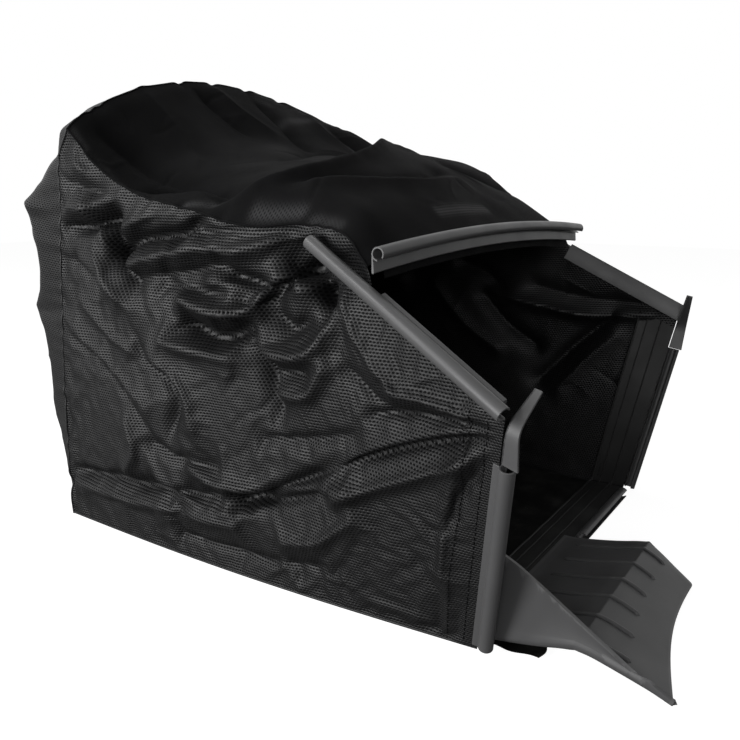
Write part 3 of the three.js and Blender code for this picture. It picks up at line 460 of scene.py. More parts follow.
TOP_FOLDS = [
    ([(0.03, 0.41), (0.1, 0.32), (0.27, 0.29), (0.48, 0.34), (0.67, 0.44), (0.9, 0.5)], 11, 12),
    ([(0.03, 0.49), (0.1, 0.4), (0.27, 0.37), (0.45, 0.42), (0.66, 0.53), (0.92, 0.6)], 10, -17),
    ([(0.05, 0.36), (0.08, 0.31), (0.14, 0.26), (0.29, 0.22), (0.48, 0.21), (0.6, 0.24)], 7, -6),
    ([(0.08, 0.25), (0.2, 0.18), (0.4, 0.15), (0.6, 0.17)], 11, 7),
    ([(0.02, 0.75), (0.1, 0.74), (0.14, 0.66), (0.08, 0.48)], 8, -9),
    ([(0.03, 0.66), (0.05, 0.54), (0.03, 0.44)], 8, 6),
    ([(0.48, 0.98), (0.5, 0.92), (0.53, 0.82)], 8, -6),
    ([(0.56, 0.98), (0.58, 0.9), (0.62, 0.8)], 9, 5),
    ([(0.71, 0.98), (0.71, 0.86), (0.67, 0.72)], 8, -7),
    ([(0.89, 0.93), (0.86, 0.82), (0.84, 0.7)], 8, 6),
    ([(0.95, 0.88), (0.92, 0.74), (0.8, 0.6)], 8, -7),
    ([(0.08, 0.96), (0.14, 0.84), (0.17, 0.69)], 12, -7),
    ([(0.3, 0.97), (0.31, 0.86), (0.27, 0.74)], 10, 4),
    ([(0.45, 0.6), (0.62, 0.66), (0.85, 0.64)], 12, -6),
    ([(0.75, 0.3), (0.86, 0.22), (0.97, 0.2)], 10, -6),
]
REAR_FOLDS = [
    ([(0.0, 0.93), (0.08, 0.93), (0.16, 0.9)], 20, -30),
    ([(0.0, 0.8), (0.1, 0.79), (0.3, 0.8)], 20, 13),
    ([(0.03, 0.64), (0.2, 0.62), (0.4, 0.6), (0.7, 0.64)], 14, -9),
    ([(0.03, 0.54), (0.2, 0.5), (0.5, 0.54)], 13, 7),
    ([(0.03, 0.4), (0.2, 0.42), (0.5, 0.4), (0.9, 0.44)], 14, -7),
    ([(0.05, 0.25), (0.3, 0.3), (0.5, 0.34), (0.9, 0.24)], 16, 7),
    ([(0.1, 0.12), (0.5, 0.16), (0.9, 0.1)], 14, -6),
    ([(0.3, 0.9), (0.34, 0.7), (0.42, 0.5)], 12, 7),
    ([(0.66, 0.92), (0.62, 0.7)], 12, -8),
]
print("folds on the right, left, top and rear:", *map(len, (RIGHT_FOLDS, LEFT_FOLDS, TOP_FOLDS, REAR_FOLDS)))

# %% [markdown]
# A panel is blended between its four edges, then pushed out of that plain surface: first by its broad form, such
# as the rear's bulge or the basin in the top, and then by its folds. The push fades out towards the seams. The
# cloth of both sides sinks into one more pocket behind the end of the upper clip.

# %% Panels with folds
SIDE_BELLY = 10
SIDE_FOLD_GAIN = 1.2
POCKET = (((0.31, 0.95), (0.44, 0.93)), 18, -16)
TOP_CROWN, TOP_CROWN_END = 20, 0.8
TOP_BASIN, TOP_BASIN_START = 26, 0.38
REAR_BULGE_LOW, REAR_BULGE_GAIN = 34, 100
REAR_BULGE_ACROSS, REAR_BULGE_UP = 0.3, 0.5


def path_distance(points, path):
    path = through(path)(np.linspace(0, 1, 4 * len(path)))
    nearest = np.full(points.shape[:-1], np.inf)
    for a, b in zip(path[:-1], path[1:]):
        a, b = np.asarray(a, float), np.asarray(b, float)
        span = b - a
        share = np.clip(((points - a) @ span) / (span @ span), 0, 1)
        nearest = np.minimum(nearest, np.linalg.norm(points - (a + share[..., None] * span), axis=-1))
    return nearest


def fold_push(points, paths):
    """How far each point is pushed outwards by a list of (path, width, height)."""
    push = np.zeros(points.shape[:-1])
    for path, width, height in paths:
        push += height * np.exp(-(path_distance(points, path) / width) ** 1.3)
    return push


def side_surface(side):
    plain = blended(base_curve(side), upper_curve(side), lower_curve(side), rear_seam_curve(side))
    pocket_path, pocket_width, pocket_depth = POCKET
    pocket = ([plain(*share) for share in pocket_path], pocket_width, pocket_depth)
    if side < 0:
        folds = RIGHT_FOLDS
    else:
        folds = [([plain(u, v) for u, v in path], width, height) for path, width, height in LEFT_FOLDS]

    def surface(u, v):
        point = plain(u, v)
        fade = rise(u - 0.012, 0.05) * rise(1 - u, 0.07) * both_ends(v, 0.07)
        push = SIDE_BELLY * bump(u) * bump(v) * fade
        push += SIDE_FOLD_GAIN * fold_push(point[..., [0, 2]] if side < 0 else point, folds) * fade
        push += fold_push(point, [pocket]) * rise(u - CLIPPED_SHARE, 0.1) * rise(1 - v, 0.05)
        return point + at(0, side * push, 0)
    return surface


def top_surface(w, u):
    plain = blended(hem_curve, rim_curve, seam_curve(-1), seam_curve(1))
    folds = [([plain(*share) for share in path], width, height) for path, width, height in TOP_FOLDS]
    crown = TOP_CROWN * bump(u / TOP_CROWN_END) * (1 - 0.9 * w)
    basin = TOP_BASIN * bump((u - TOP_BASIN_START) / (1 - TOP_BASIN_START)) * (1 - 0.4 * w)
    fade = rise(u, 0.12) * rise(1 - u, 0.06) * both_ends(w, 0.07)
    point = plain(w, u)
    return point + at(0, 0, (crown - basin + fold_push(point, folds)) * fade)


def rear_surface(w, v):
    plain = blended(rear_base_curve, rim_curve, rear_seam_curve(-1), rear_seam_curve(1))
    folds = [([plain(*share) for share in path], width, height) for path, width, height in REAR_FOLDS]
    bulge = (REAR_BULGE_LOW + REAR_BULGE_GAIN * v) * bump(w) ** REAR_BULGE_ACROSS * bump(v) ** REAR_BULGE_UP
    point = plain(w, v)
    push = bulge + fold_push(point, folds) * both_ends(w, 0.04) * both_ends(v, 0.04)
    return point - at(push, 0, 0)


print("the rear bulges by up to", REAR_BULGE_LOW + REAR_BULGE_GAIN, "mm, the top sinks by", TOP_BASIN)

# %% [markdown]
# ## Sewing the shell and letting it sag
# The four cloth pieces are laid out as grids that share their seam points, so they are sewn by welding.

# %% Grids of the shell
CELLS = {"clipped": 22, "corner": 4, "seam": 56, "across": 54, "up": 56}


def even(count):
    return np.linspace(0, 1, count + 1)


length_shares = np.concatenate([
    CLIPPED_SHARE * even(CELLS["clipped"])[:-1],
    CLIPPED_SHARE + (SEAM_SHARE - CLIPPED_SHARE) * even(CELLS["corner"])[:-1],
    SEAM_SHARE + (1 - SEAM_SHARE) * even(CELLS["seam"]),
])
seam_shares, across_shares, up_shares = even(CELLS["seam"]), even(CELLS["across"]), even(CELLS["up"])
surfaces = {
    "side_right": (side_surface(-1), length_shares, up_shares, True),
    "side_left": (side_surface(1), length_shares, up_shares, False),
    "top": (top_surface, across_shares, seam_shares, False),
    "rear": (rear_surface, across_shares, up_shares, True),
}


def grid_faces(index, flip):
    a, b, c, d = index[:-1, :-1], index[1:, :-1], index[1:, 1:], index[:-1, 1:]
    order = (a, d, c, b) if flip else (a, b, c, d)
    return np.stack(order, -1).reshape(-1, 4)


rest, numbers, welded = {}, {}, {}
for name, (surface, us, vs, flip) in surfaces.items():
    U, V = np.meshgrid(us, vs, indexing="ij")
    rest[name] = surface(U, V)
    keys = np.round(rest[name].reshape(-1, 3), 1)
    numbers[name] = np.array([welded.setdefault(tuple(key), len(welded)) for key in keys]).reshape(U.shape)
shell_points = np.zeros((len(welded), 3))
for name in rest:
    shell_points[numbers[name].ravel()] = rest[name].reshape(-1, 3)
shell_faces = np.vstack([grid_faces(numbers[name], surfaces[name][3]) for name in surfaces])
print("shell:", len(shell_points), "points,", len(shell_faces), "faces")

# %% [markdown]
# The shell is then simulated as cloth. The mouth and the base hold it fast, the seams nearly so and the cloth
# between them loosely. It is cut slightly too large, so that it buckles as slack cloth does.

# %% Cloth simulation
SIMULATED_FRAMES = 36
CLOTH_EXCESS = 0.05
PANEL_HOLD, SEAM_HOLD, RIM_HOLD = 0.36, 0.8, 0.85
BANDED_SHARE = 0.4


def make_mesh(name, points, faces):
    mesh = bpy.data.meshes.new(name)
    corner_numbers = [tuple(int(i) for i in face) for face in faces]
    mesh.from_pydata((np.asarray(points, float) * MM).tolist(), [], corner_numbers)
    mesh.shade_smooth()
    made = bpy.data.objects.new(name, mesh)
    scene.collection.objects.link(made)
    return made


hold = np.full(len(shell_points), PANEL_HOLD)
for name in ("side_right", "side_left"):
    side_index = numbers[name]
    hold[side_index[:, 0]] = 1
    banded = length_shares <= BAND_SHARE * BANDED_SHARE
    hold[side_index[banded].ravel()] = 1
    clipped = length_shares <= SEAM_SHARE
    hold[side_index[clipped, -1]] = 1
    hold[side_index[clipped, -2]] = 1
    hold[side_index[~clipped, -1]] = SEAM_HOLD
    hold[side_index[-1]] = SEAM_HOLD
hold[numbers["top"][:, 0]] = 1
hold[numbers["top"][:, 1]] = 1
hold[numbers["top"][:, -1]] = RIM_HOLD
hold[numbers["rear"][:, 0]] = 1


def simulate(points, faces):
    shell = make_mesh("shell", points, faces)
    group = shell.vertex_groups.new(name="held")
    for number, weight in enumerate(hold):
        group.add([number], float(weight), "REPLACE")
    cloth = shell.modifiers.new("cloth", "CLOTH")
    settings = cloth.settings
    settings.quality = 6
    settings.mass = 0.3
    settings.tension_stiffness = 25
    settings.compression_stiffness = 25
    settings.shear_stiffness = 8
    settings.bending_stiffness = 0.08
    settings.air_damping = 2
    settings.vertex_group_mass = "held"
    settings.pin_stiffness = 1.0
    settings.shrink_min = -CLOTH_EXCESS
    settings.effector_weights.gravity = 0.6
    cloth.collision_settings.use_collision = False
    cloth.point_cache.frame_start = 1
    cloth.point_cache.frame_end = SIMULATED_FRAMES
    for number in range(1, SIMULATED_FRAMES + 1):
        scene.frame_set(number)
    settled = shell.evaluated_get(bpy.context.evaluated_depsgraph_get()).to_mesh()
    result = np.zeros(len(points) * 3)
    settled.vertices.foreach_get("co", result)
    scene.frame_set(1)
    bpy.data.objects.remove(shell)
    return result.reshape(-1, 3) / MM


settled_points = simulate(shell_points, shell_faces)
settled_points[:, 2] = np.maximum(settled_points[:, 2], 0)
moved = np.linalg.norm(settled_points - shell_points, axis=1)
print("cloth moved up to", round(float(moved.max()), 1), "mm, on average", round(float(moved.mean()), 1))

# %% [markdown]
# ## Cutting the settled shell back into its pieces
# Each cloth piece becomes an object of its own, because each was one cut of material. A second layer would cost
# detail where it isn't seen, so a piece is one layer, and the sewn edges are covered by clips, hems and bands.
# What the simulation moved in the top and the left side is smoothed, because the cloth lies calmer there.

# %% Settled grids
SMOOTHING_ROUNDS = {"top": 10, "side_left": 4}
settled = {name: settled_points[numbers[name]] for name in numbers}
for name, rounds in SMOOTHING_ROUNDS.items():
    shift = settled[name] - rest[name]
    for _ in range(rounds):
        inner = shift[1:-1, 1:-1]
        near = shift[2:, 1:-1] + shift[:-2, 1:-1] + shift[1:-1, 2:] + shift[1:-1, :-2]
        shift[1:-1, 1:-1] = 0.4 * inner + 0.15 * near
    settled[name] = rest[name] + shift
print("grids:", ", ".join(f"{name} {grid.shape[0]} by {grid.shape[1]}" for name, grid in settled.items()))

# %% [markdown]
# Cloth creases more sharply than the simulated grid can show. So each grid is refined, and narrow creases are
# pressed into it along the drawn folds, with short wrinkles strewn between them. They are drawn in the plane of
# the cloth, in which the weave is laid out too, and fade out at the seams.

# %% Creases
FINE_STEPS = 4
SHARPEN = (0.42, 0.38)
STROKES = {"side_right": (10, 130, 12), "side_left": (9, 50, 20), "top": (3, 34, 0), "rear": (4, 50, 10)}
CREASE_FADE = (0.025, 0.04)
INSIDE = (0, 0, 180)


def sample(grid, i, j):
    """Points of a grid at fractional row and column numbers."""
    i, j = np.asarray(i, float), np.asarray(j, float)
    i0 = np.clip(np.floor(i).astype(int), 0, grid.shape[0] - 2)
    j0 = np.clip(np.floor(j).astype(int), 0, grid.shape[1] - 2)
    s, t = (i - i0)[..., None], (j - j0)[..., None]
    return ((grid[i0, j0] * (1 - s) + grid[i0 + 1, j0] * s) * (1 - t)
            + (grid[i0, j0 + 1] * (1 - s) + grid[i0 + 1, j0 + 1] * s) * t)


def finer(grid, factor):
    """The smooth surface of a coarse grid, with several steps for each of its cells."""
    for axis in (0, 1):
        g = np.moveaxis(grid, axis, 0)
        g = np.concatenate([2 * g[:1] - g[1:2], g, 2 * g[-1:] - g[-2:-1]])
        t = np.linspace(0, len(g) - 3, (len(g) - 3) * factor + 1)
        i = np.minimum(t.astype(int), len(g) - 4)
        f = (t - i)[:, None, None]
        weights = ((1 - f) ** 3, 3 * f ** 3 - 6 * f ** 2 + 4, 1 + 3 * f + 3 * f ** 2 - 3 * f ** 3, f ** 3)
        grid = np.moveaxis(sum(w * g[i + k] for k, w in enumerate(weights)) / 6, 0, axis)
    return grid


def crease_push(points, strokes):
    """Sharp narrow folds in the plane of the cloth. Each fades out towards both ends of its path."""
    push = np.zeros(points.shape[:-1])
    for path, width, height in strokes:
        path = through(path)(even(3 * len(path)))
        close = np.all((points > path.min(0) - 5 * width) & (points < path.max(0) + 5 * width), axis=-1)
        part = points[close]
        nearest, place = np.full(len(part), np.inf), np.zeros(len(part))
        for k in range(len(path) - 1):
            span = path[k + 1] - path[k]
            share = np.clip(((part - path[k]) @ span) / max(span @ span, 1e-9), 0, 1)
            distance = np.linalg.norm(part - (path[k] + share[:, None] * span), axis=-1)
            place = np.where(distance < nearest, (k + share) / (len(path) - 1), place)
            nearest = np.minimum(nearest, distance)
        profile = np.exp(-(np.sqrt(nearest ** 2 + 0.8) - 0.9) / width)
        push[close] += height * profile * bump(0.05 + 0.9 * place) ** 0.6
    return push


def small_strokes(seed, count, extent, slant):
    """Short fine wrinkles strewn over a piece of cloth, lying mostly along its slant in degrees."""
    local = np.random.default_rng(seed)
    strokes = []
    for _ in range(count):
        middle = np.array([local.uniform(*extent[0]), local.uniform(*extent[1])])
        angle = math.radians(local.normal(slant, 32))
        half = local.uniform(8, 26) * np.array([math.cos(angle), math.sin(angle)])
        bend = local.uniform(-4, 4) * np.array([-math.sin(angle), math.cos(angle)])
        height = local.choice([-1, 1]) * local.uniform(0.4, 1.3)
        strokes.append(([middle - half, middle + bend, middle + half], local.uniform(1.5, 3.4), height))
    return strokes


def run_lengths(grid):
    """Lengths along both directions of a grid, for a pattern that doesn't stretch."""
    across = np.linalg.norm(np.diff(grid, axis=0), axis=-1).mean(axis=1)
    along = np.linalg.norm(np.diff(grid, axis=1), axis=-1).mean(axis=0)
    across = np.concatenate([[0], np.cumsum(across)])
    along = np.concatenate([[0], np.cumsum(along)])
    return np.stack(np.meshgrid(across, along, indexing="ij"), -1)


uvs = {
    "side_right": rest["side_right"][..., [0, 2]],
    "side_left": rest["side_left"][..., [0, 2]],
    "top": run_lengths(rest["top"]),
    "rear": run_lengths(rest["rear"]),
}


def in_cloth(name, path):
    """A path given in shares of a panel, in the plane of its cloth."""
    us, vs = surfaces[name][1], surfaces[name][2]
    i = np.interp([share[0] for share in path], us, np.arange(len(us)))
    j = np.interp([share[1] for share in path], vs, np.arange(len(vs)))
    return sample(uvs[name], i, j)


drawn = {"side_right": RIGHT_FOLDS}
for name, folds in (("side_left", LEFT_FOLDS), ("top", TOP_FOLDS), ("rear", REAR_FOLDS)):
    drawn[name] = [(in_cloth(name, path), width, height) for path, width, height in folds]
fine, fine_uvs, fine_shares = {}, {}, {}
for name, (_, us, vs, _) in surfaces.items():
    surface = finer(settled[name], FINE_STEPS)
    flat = finer(uvs[name], FINE_STEPS)
    shares = finer(np.stack(np.meshgrid(us, vs, indexing="ij"), -1), FINE_STEPS)
    seed, count, slant = STROKES[name]
    extent = [(float(flat[..., k].min()), float(flat[..., k].max())) for k in (0, 1)]
    strokes = [(path, width * SHARPEN[0], height * SHARPEN[1]) for path, width, height in drawn[name]]
    strokes += small_strokes(seed, count, extent, slant)
    normal = np.cross(np.gradient(surface, axis=0), np.gradient(surface, axis=1))
    normal /= np.maximum(np.linalg.norm(normal, axis=-1, keepdims=True), 1e-9)
    if (normal * (surface - at(*INSIDE))).sum(-1).mean() < 0:
        normal = -normal
    fade = both_ends(shares[..., 0], CREASE_FADE[0]) * both_ends(shares[..., 1], CREASE_FADE[1])
    fine[name] = surface + normal * (crease_push(flat, strokes) * fade)[..., None]
    fine_uvs[name], fine_shares[name] = flat, shares
for name, grid in fine.items():
    print(name, "refined to", grid.shape[0], "by", grid.shape[1], "points")

# %% [markdown]
# A cloth object carries the plane of its cloth as its texture coordinates, in metres.

# %% Cloth pieces
MATERIAL_OF = {}


def set_uv(mesh, uv):
    layer = mesh.uv_layers.new(name="cloth")
    loops = np.zeros(len(mesh.loops), int)
    mesh.loops.foreach_get("vertex_index", loops)
    layer.data.foreach_set("uv", np.asarray(uv, float).reshape(-1, 2)[loops].ravel())


def refine(piece, levels):
    modifier = piece.modifiers.new("fine", "SUBSURF")
    modifier.levels = levels
    modifier.render_levels = levels
    modifier.boundary_smooth = "PRESERVE_CORNERS"


def finish_piece(piece, slot, nodes=()):
    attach(piece, "root")
    if nodes:
        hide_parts(*nodes)
    MATERIAL_OF[piece.name] = slot
    return piece


def cloth_grid(name, grid, slot, uv, flip=False, nodes=(), levels=1):
    index = np.arange(grid.shape[0] * grid.shape[1]).reshape(grid.shape[:2])
    piece = make_mesh(name, grid.reshape(-1, 3), grid_faces(index, flip))
    set_uv(piece.data, uv * MM)
    if levels:
        refine(piece, levels)
    return finish_piece(piece, slot, nodes)


def flat_area(grid):
    """Area of a grid of points in square metres."""
    a, b, c, d = grid[:-1, :-1], grid[1:, :-1], grid[1:, 1:], grid[:-1, 1:]
    return float(np.linalg.norm(np.cross(c - a, d - b), axis=-1).sum() / 2) * MM * MM


panels = {}
for name, slot, node in (("side_right", "mesh", "side_panel_right"), ("side_left", "mesh", "side_panel_left"),
                         ("rear", "mesh", "rear_panel"), ("top", "cloth", "top_panel")):
    panels[name] = cloth_grid("cloth_" + name, fine[name], slot, fine_uvs[name], surfaces[name][3], (node,), 0)
for name in panels:
    print(name, "area", round(flat_area(settled[name]), 4), "square metres")

# %% [markdown]
# On its high places the top gets a painted sheen: the open weave of its threads shows there, and its colour is
# lifted as if it caught the light. Each place is a path over the panel with a width and a strength.

# %% Painted sheen places
PAINTED_SHEEN_PLACES = [
    ([(0.01, 0.54), (0.05, 0.44)], 5, 0.7),
    ([(0.02, 0.35), (0.02, 0.24)], 6, 0.9),
    ([(0.71, 0.86), (0.86, 0.9)], 6, 0.4),
    ([(0.32, 0.07), (0.56, 0.07)], 5, 0.8),
    ([(0.01, 0.2), (0.01, 0.12)], 5, 0.6),
    ([(0.01, 0.98), (0.01, 0.93)], 6, 0.5),
    ([(0.72, 0.97), (0.75, 0.95)], 5, 0.4),
    ([(0.87, 0.74), (0.82, 0.64)], 6, 0.4),
    ([(0.4, 0.8), (0.55, 0.7)], 22, 0.1),
    ([(0.2, 0.82), (0.35, 0.62)], 20, 0.08),
]
# The places are kept as a point attribute of the top, from which its material paints the sheen.
painted_sheen = np.zeros(fine_uvs["top"].shape[:-1])
for path, width, strength in PAINTED_SHEEN_PLACES:
    painted_sheen += strength * np.exp(-(path_distance(fine_uvs["top"], in_cloth("top", path)) / width) ** 2)
layer = panels["top"].data.attributes.new("painted_sheen", "FLOAT", "POINT")
layer.data.foreach_set("value", np.clip(painted_sheen, 0, 1).ravel())
print("rubbed places:", len(PAINTED_SHEEN_PLACES))

# %% [markdown]
# ## Floor and bands
# The floor is vinyl-coated cloth that lies on the ground in shallow waves.

# %% Floor
FLOOR_HEIGHT, FLOOR_WAVE, FLOOR_WAVE_LENGTH = 1.0, 1.2, 190


def waves(points, length, seed):
    """Soft waves between -1 and 1 for points of the plane."""
    local = np.random.default_rng(seed)
    total = np.zeros(points.shape[:-1])
    for _ in range(7):
        angle = local.uniform(0, np.pi)
        stretch = local.uniform(0.6, 1.8)
        total += np.sin((points[..., 0] * np.cos(angle) + points[..., 1] * np.sin(angle)) * 2 * np.pi
                        / (length * stretch) + local.uniform(0, 6.3))
    return total / 7


U, W = np.meshgrid(even(60), even(48), indexing="ij")
floor_grid = mixed(base_curve(-1)(U), base_curve(1)(U), W)
sewn = both_ends(W, 0.05) * rise(1 - U, 0.05) * rise(U, 0.04)
floor_waves = 1.0 + waves(floor_grid[..., :2], FLOOR_WAVE_LENGTH, 3)
floor_grid[..., 2] = FLOOR_HEIGHT + floor_waves * FLOOR_WAVE * sewn
base = cloth_grid("vinyl_floor", floor_grid, "vinyl", floor_grid[..., :2], False, ("bottom_panel",), 1)
print("floor:", BASE_LENGTH, "by", 2 * MOUTH_HALF, "mm")

# %% [markdown]
# Three bands of vinyl are sewn inside the lower mouth, where the clips and the chute need a firm edge. Those at
# the sides hang a little inside the mesh, and the right one is drawn further inwards.

# %% Bands
BAND_DEPTH = 2.6
BAND_DRAWN_IN = {-1: 16, 1: 2}
BAND_LIFT, BAND_CROWN = 4.4, 1.2
plain_side = {side: blended(base_curve(side), upper_curve(side), lower_curve(side), rear_seam_curve(side))
              for side in (-1, 1)}
bands, band_grids = {}, {}
for side, word in ((-1, "right"), (1, "left")):
    U, V = np.meshgrid(BAND_SHARE * even(8), 0.02 + 0.92 * even(40), indexing="ij")
    grid = plain_side[side](U, V)
    depth = BAND_DEPTH + BAND_DRAWN_IN[side] * (U / BAND_SHARE) ** 1.5 * bump(V) ** 0.3
    inwards = at(0, -side * (depth + 0.5 * waves(grid[..., [0, 2]], 60, 5)), 0)
    band_grids[word] = grid + inwards
    bands[word] = cloth_grid("vinyl_band_" + word, grid + inwards, "vinyl band", grid[..., [0, 2]], side < 0,
                             ("mouth_band_" + word,), 1)
U, W = np.meshgrid(BAND_SHARE * even(8), 0.02 + 0.96 * even(40), indexing="ij")
grid = mixed(base_curve(-1)(U), base_curve(1)(U), W)
crown = BAND_CROWN * bump(0.2 + 0.8 * U / BAND_SHARE)
grid[..., 2] = BAND_LIFT + crown + 0.5 * waves(grid[..., :2], 50, 8)
bands["bottom"] = cloth_grid("vinyl_band_bottom", grid, "vinyl band", grid[..., :2], False,
                             ("mouth_band_bottom",), 1)
band_grids["bottom"] = grid
print("bands:", ", ".join(bands))

# %% [markdown]
# ## Hems, seam edges and stitches
# Threads, seam edges and welts are all round bars along a line. The bands have three welts each: a thick one at
# the edge that faces into the bag, and two thinner ones.

# %% Welts
WELTS = ((8, 1.1), (3, 0.7), (6, 0.6))
WELT_OFFSETS = {"right": (0, 0.9, 0), "left": (0, -0.9, 0), "bottom": (0, 0, 0.8)}


def tube(line, radius, sides=6):
    """Points and faces of a round bar along a line of points."""
    line = np.asarray(line, float)
    along = np.gradient(line, axis=0)
    along /= np.maximum(np.linalg.norm(along, axis=1, keepdims=True), 1e-9)
    helper = np.where(np.abs(along[:, 2:3]) < 0.9, [[0, 0, 1.0]], [[1.0, 0, 0]])
    first = np.cross(along, helper)
    first /= np.linalg.norm(first, axis=1, keepdims=True)
    second = np.cross(along, first)
    angles = np.arange(sides) * 2 * np.pi / sides
    radius = np.broadcast_to(radius, len(line))[:, None, None]
    ring = first[:, None] * np.cos(angles)[None, :, None] + second[:, None] * np.sin(angles)[None, :, None]
    points = line[:, None] + ring * radius
    index = np.arange(len(line) * sides).reshape(len(line), sides)
    wrapped = np.concatenate([index, index[:, :1]], axis=1)
    faces = [tuple(face) for face in grid_faces(wrapped, False)]
    faces.append(tuple(index[0][::-1]))
    faces.append(tuple(index[-1]))
    return points.reshape(-1, 3), faces


def merged(parts):
    """Joins lists of (points, faces) into one."""
    points, faces, shift = [], [], 0
    for part_points, part_faces in parts:
        points.append(part_points)
        faces += [tuple(i + shift for i in face) for face in part_faces]
        shift += len(part_points)
    return np.vstack(points), faces


for word, off in WELT_OFFSETS.items():
    parts = [tube(band_grids[word][row] + at(*off), radius, 6) for row, radius in WELTS]
    finish_piece(make_mesh("welts_" + word, *merged(parts)), "vinyl band")

# %% [markdown]
# The mesh is turned over at the lower mouth and sewn down with two rows of stitches, and one more row holds the
# band. The stitches are short threads laid on the settled cloth, so they follow it.

# %% Hems
HEM_WIDTH = 27
HEM_STITCHES = (0.42, 0.86)
THREAD_RADIUS = 0.42
STITCH_PITCH, STITCH_SHARE = 4.2, 0.62


def stitches(line):
    """A row of short threads along a line of points."""
    line = np.asarray(line, float)
    run = np.concatenate([[0], np.cumsum(np.linalg.norm(np.diff(line, axis=0), axis=1))])
    parts = []
    for start in np.arange(STITCH_PITCH / 2, run[-1] - STITCH_PITCH, STITCH_PITCH):
        places = start + np.linspace(0, STITCH_PITCH * STITCH_SHARE, 4)
        short = np.stack([np.interp(places, run, line[:, k]) for k in range(3)], -1)
        parts.append(tube(short, THREAD_RADIUS * np.array([0.5, 1, 1, 0.5]), 5))
    return merged(parts)


outward = {"side_right": -1, "side_left": 1}
hems, stitch_parts = {}, {"side_right": [], "side_left": []}
for name, side in outward.items():
    word = name.split("_")[1]
    last = int(np.searchsorted(fine_shares[name][:, 0, 0], HEM_WIDTH / BASE_LENGTH))
    grid = fine[name][:last + 1, 2:-5]
    across = even(last)[:, None]
    puff = 0.6 + 0.8 * bump(across) + 0.35 * waves(grid[..., [0, 2]], 24, 11)
    hem_uv = fine_uvs[name][:last + 1, 2:-5] * 1.2
    hems[word] = cloth_grid("hem_" + word, grid + at(0, side * puff, 0), "mesh", hem_uv, side < 0, (), 0)
    for share in HEM_STITCHES:
        stitch_parts[name].append(stitches(grid[int(share * last), 3:-3] + at(0, side * 1.7, 0)))
    row = plain_side[side](np.full(90, 0.86 * BAND_SHARE), np.linspace(0.04, 0.93, 90))
    stitch_parts[name].append(stitches(row - at(0, side * 3.4, 0)))
print("hems:", len(hems), "rows of stitches:", sum(len(rows) for rows in stitch_parts.values()))

# %% [markdown]
# Along every seam the two cut edges stand up as a narrow ridge.

# %% Seams
SEAM_RADIUS = 0.9
seam_pieces = {}
sewn_from = int(np.searchsorted(fine_shares["side_right"][:, 0, 0], SEAM_SHARE - 1e-6))
seam_lines = {
    "top_right": (fine["side_right"][sewn_from:, -1], "cloth"),
    "top_left": (fine["side_left"][sewn_from:, -1], "cloth"),
    "rear_right": (fine["side_right"][-1], "mesh"),
    "rear_left": (fine["side_left"][-1], "mesh"),
    "rim": (fine["top"][:, -1], "cloth"),
    "base_right": (fine["side_right"][:, 0] + at(0, 0, 1.3), "mesh"),
    "base_left": (fine["side_left"][:, 0] + at(0, 0, 1.3), "mesh"),
    "base_rear": (fine["rear"][:, 0] + at(0, 0, 1.3), "mesh"),
}
for name, (line, slot) in seam_lines.items():
    points, faces = tube(line, SEAM_RADIUS * (1 + 0.25 * waves(line[:, :2], 40, 17)), 8)
    piece = make_mesh("seam_" + name, points, faces)
    seam_pieces[name] = finish_piece(piece, slot)
for name, parts in stitch_parts.items():
    seam_pieces["stitches_" + name] = finish_piece(make_mesh("stitches_" + name, *merged(parts)), "cloth")
print("seam and stitch pieces:", len(seam_pieces))

# %% [markdown]
# ## Channel clips
# A clip is an extruded strip: a tube with a slot, that is pushed over the frame's wire, and a flange that is sewn
# to the cloth. It is built like its extrusion, as an outline drawn once and set up along the edge it is sewn to.

# %% Clips
CLIP_RADIUS = 5.5
TOP_CLIP_RADIUS = 5.0
CLIP_WALL = 1.3
CLIP_SLOT = 6
FLANGE = 8
LOWER_FLANGE = 3.6
FLANGE_THICKNESS = 1.4
EDGE_GAP = 0.7
FLANGE_GAP = 0.8
MESH_THICKNESS = 1.8
UPPER_CLIP_FORWARD = 5.2
UPPER_CLIP_OVERRUN = 75
HOOK_FORWARD = {-1: 0, 1: 4}
HOOK_REACH = {-1: (6, -2), 1: (-4, 10)}
LOWER_CLIP_ENDS = (5, 34)


def arc(centre, radius, start, end):
    count = max(3, int(abs(end - start) / 0.16))
    angles = np.linspace(start, end, count + 1)
    return [(centre[0] + radius * math.cos(a), centre[1] + radius * math.sin(a)) for a in angles]


def clip_outline(centre, radius, slot_angle, flange_angles=None, flange=(), slot=CLIP_SLOT):
    inner = radius - CLIP_WALL
    outer_gap, inner_gap = math.asin(slot / 2 / radius), math.asin(slot / 2 / inner)
    full = slot_angle + 2 * math.pi
    leave, back = flange_angles or (slot_angle + math.pi, slot_angle + math.pi)
    outline = arc(centre, radius, slot_angle + outer_gap, leave) + list(flange)
    outline += arc(centre, radius, back + (0 if flange else 0.05), full - outer_gap)
    return outline + arc(centre, inner, full - inner_gap, slot_angle + inner_gap)


def swept(outline, places):
    """Points and faces of an outline set up at each place in turn. A place is (origin, x axis, y axis)."""
    flat = np.asarray(outline, float)
    area = np.sum(flat[:, 0] * np.roll(flat[:, 1], -1) - np.roll(flat[:, 0], -1) * flat[:, 1])
    points = np.array([origin + flat[:, :1] * x + flat[:, 1:] * y for origin, x, y in places])
    count = len(flat)
    index = np.arange(len(places) * count).reshape(len(places), count)
    wrapped = np.concatenate([index, index[:, :1]], axis=1)
    first, x, y = places[0]
    forward = float(np.dot(np.cross(x, y), places[-1][0] - first)) * area > 0
    faces = [tuple(face) for face in grid_faces(wrapped, forward)]
    faces.append(tuple(index[0][::-1]) if forward else tuple(index[0]))
    faces.append(tuple(index[-1]) if forward else tuple(index[-1][::-1]))
    return points.reshape(-1, 3), faces


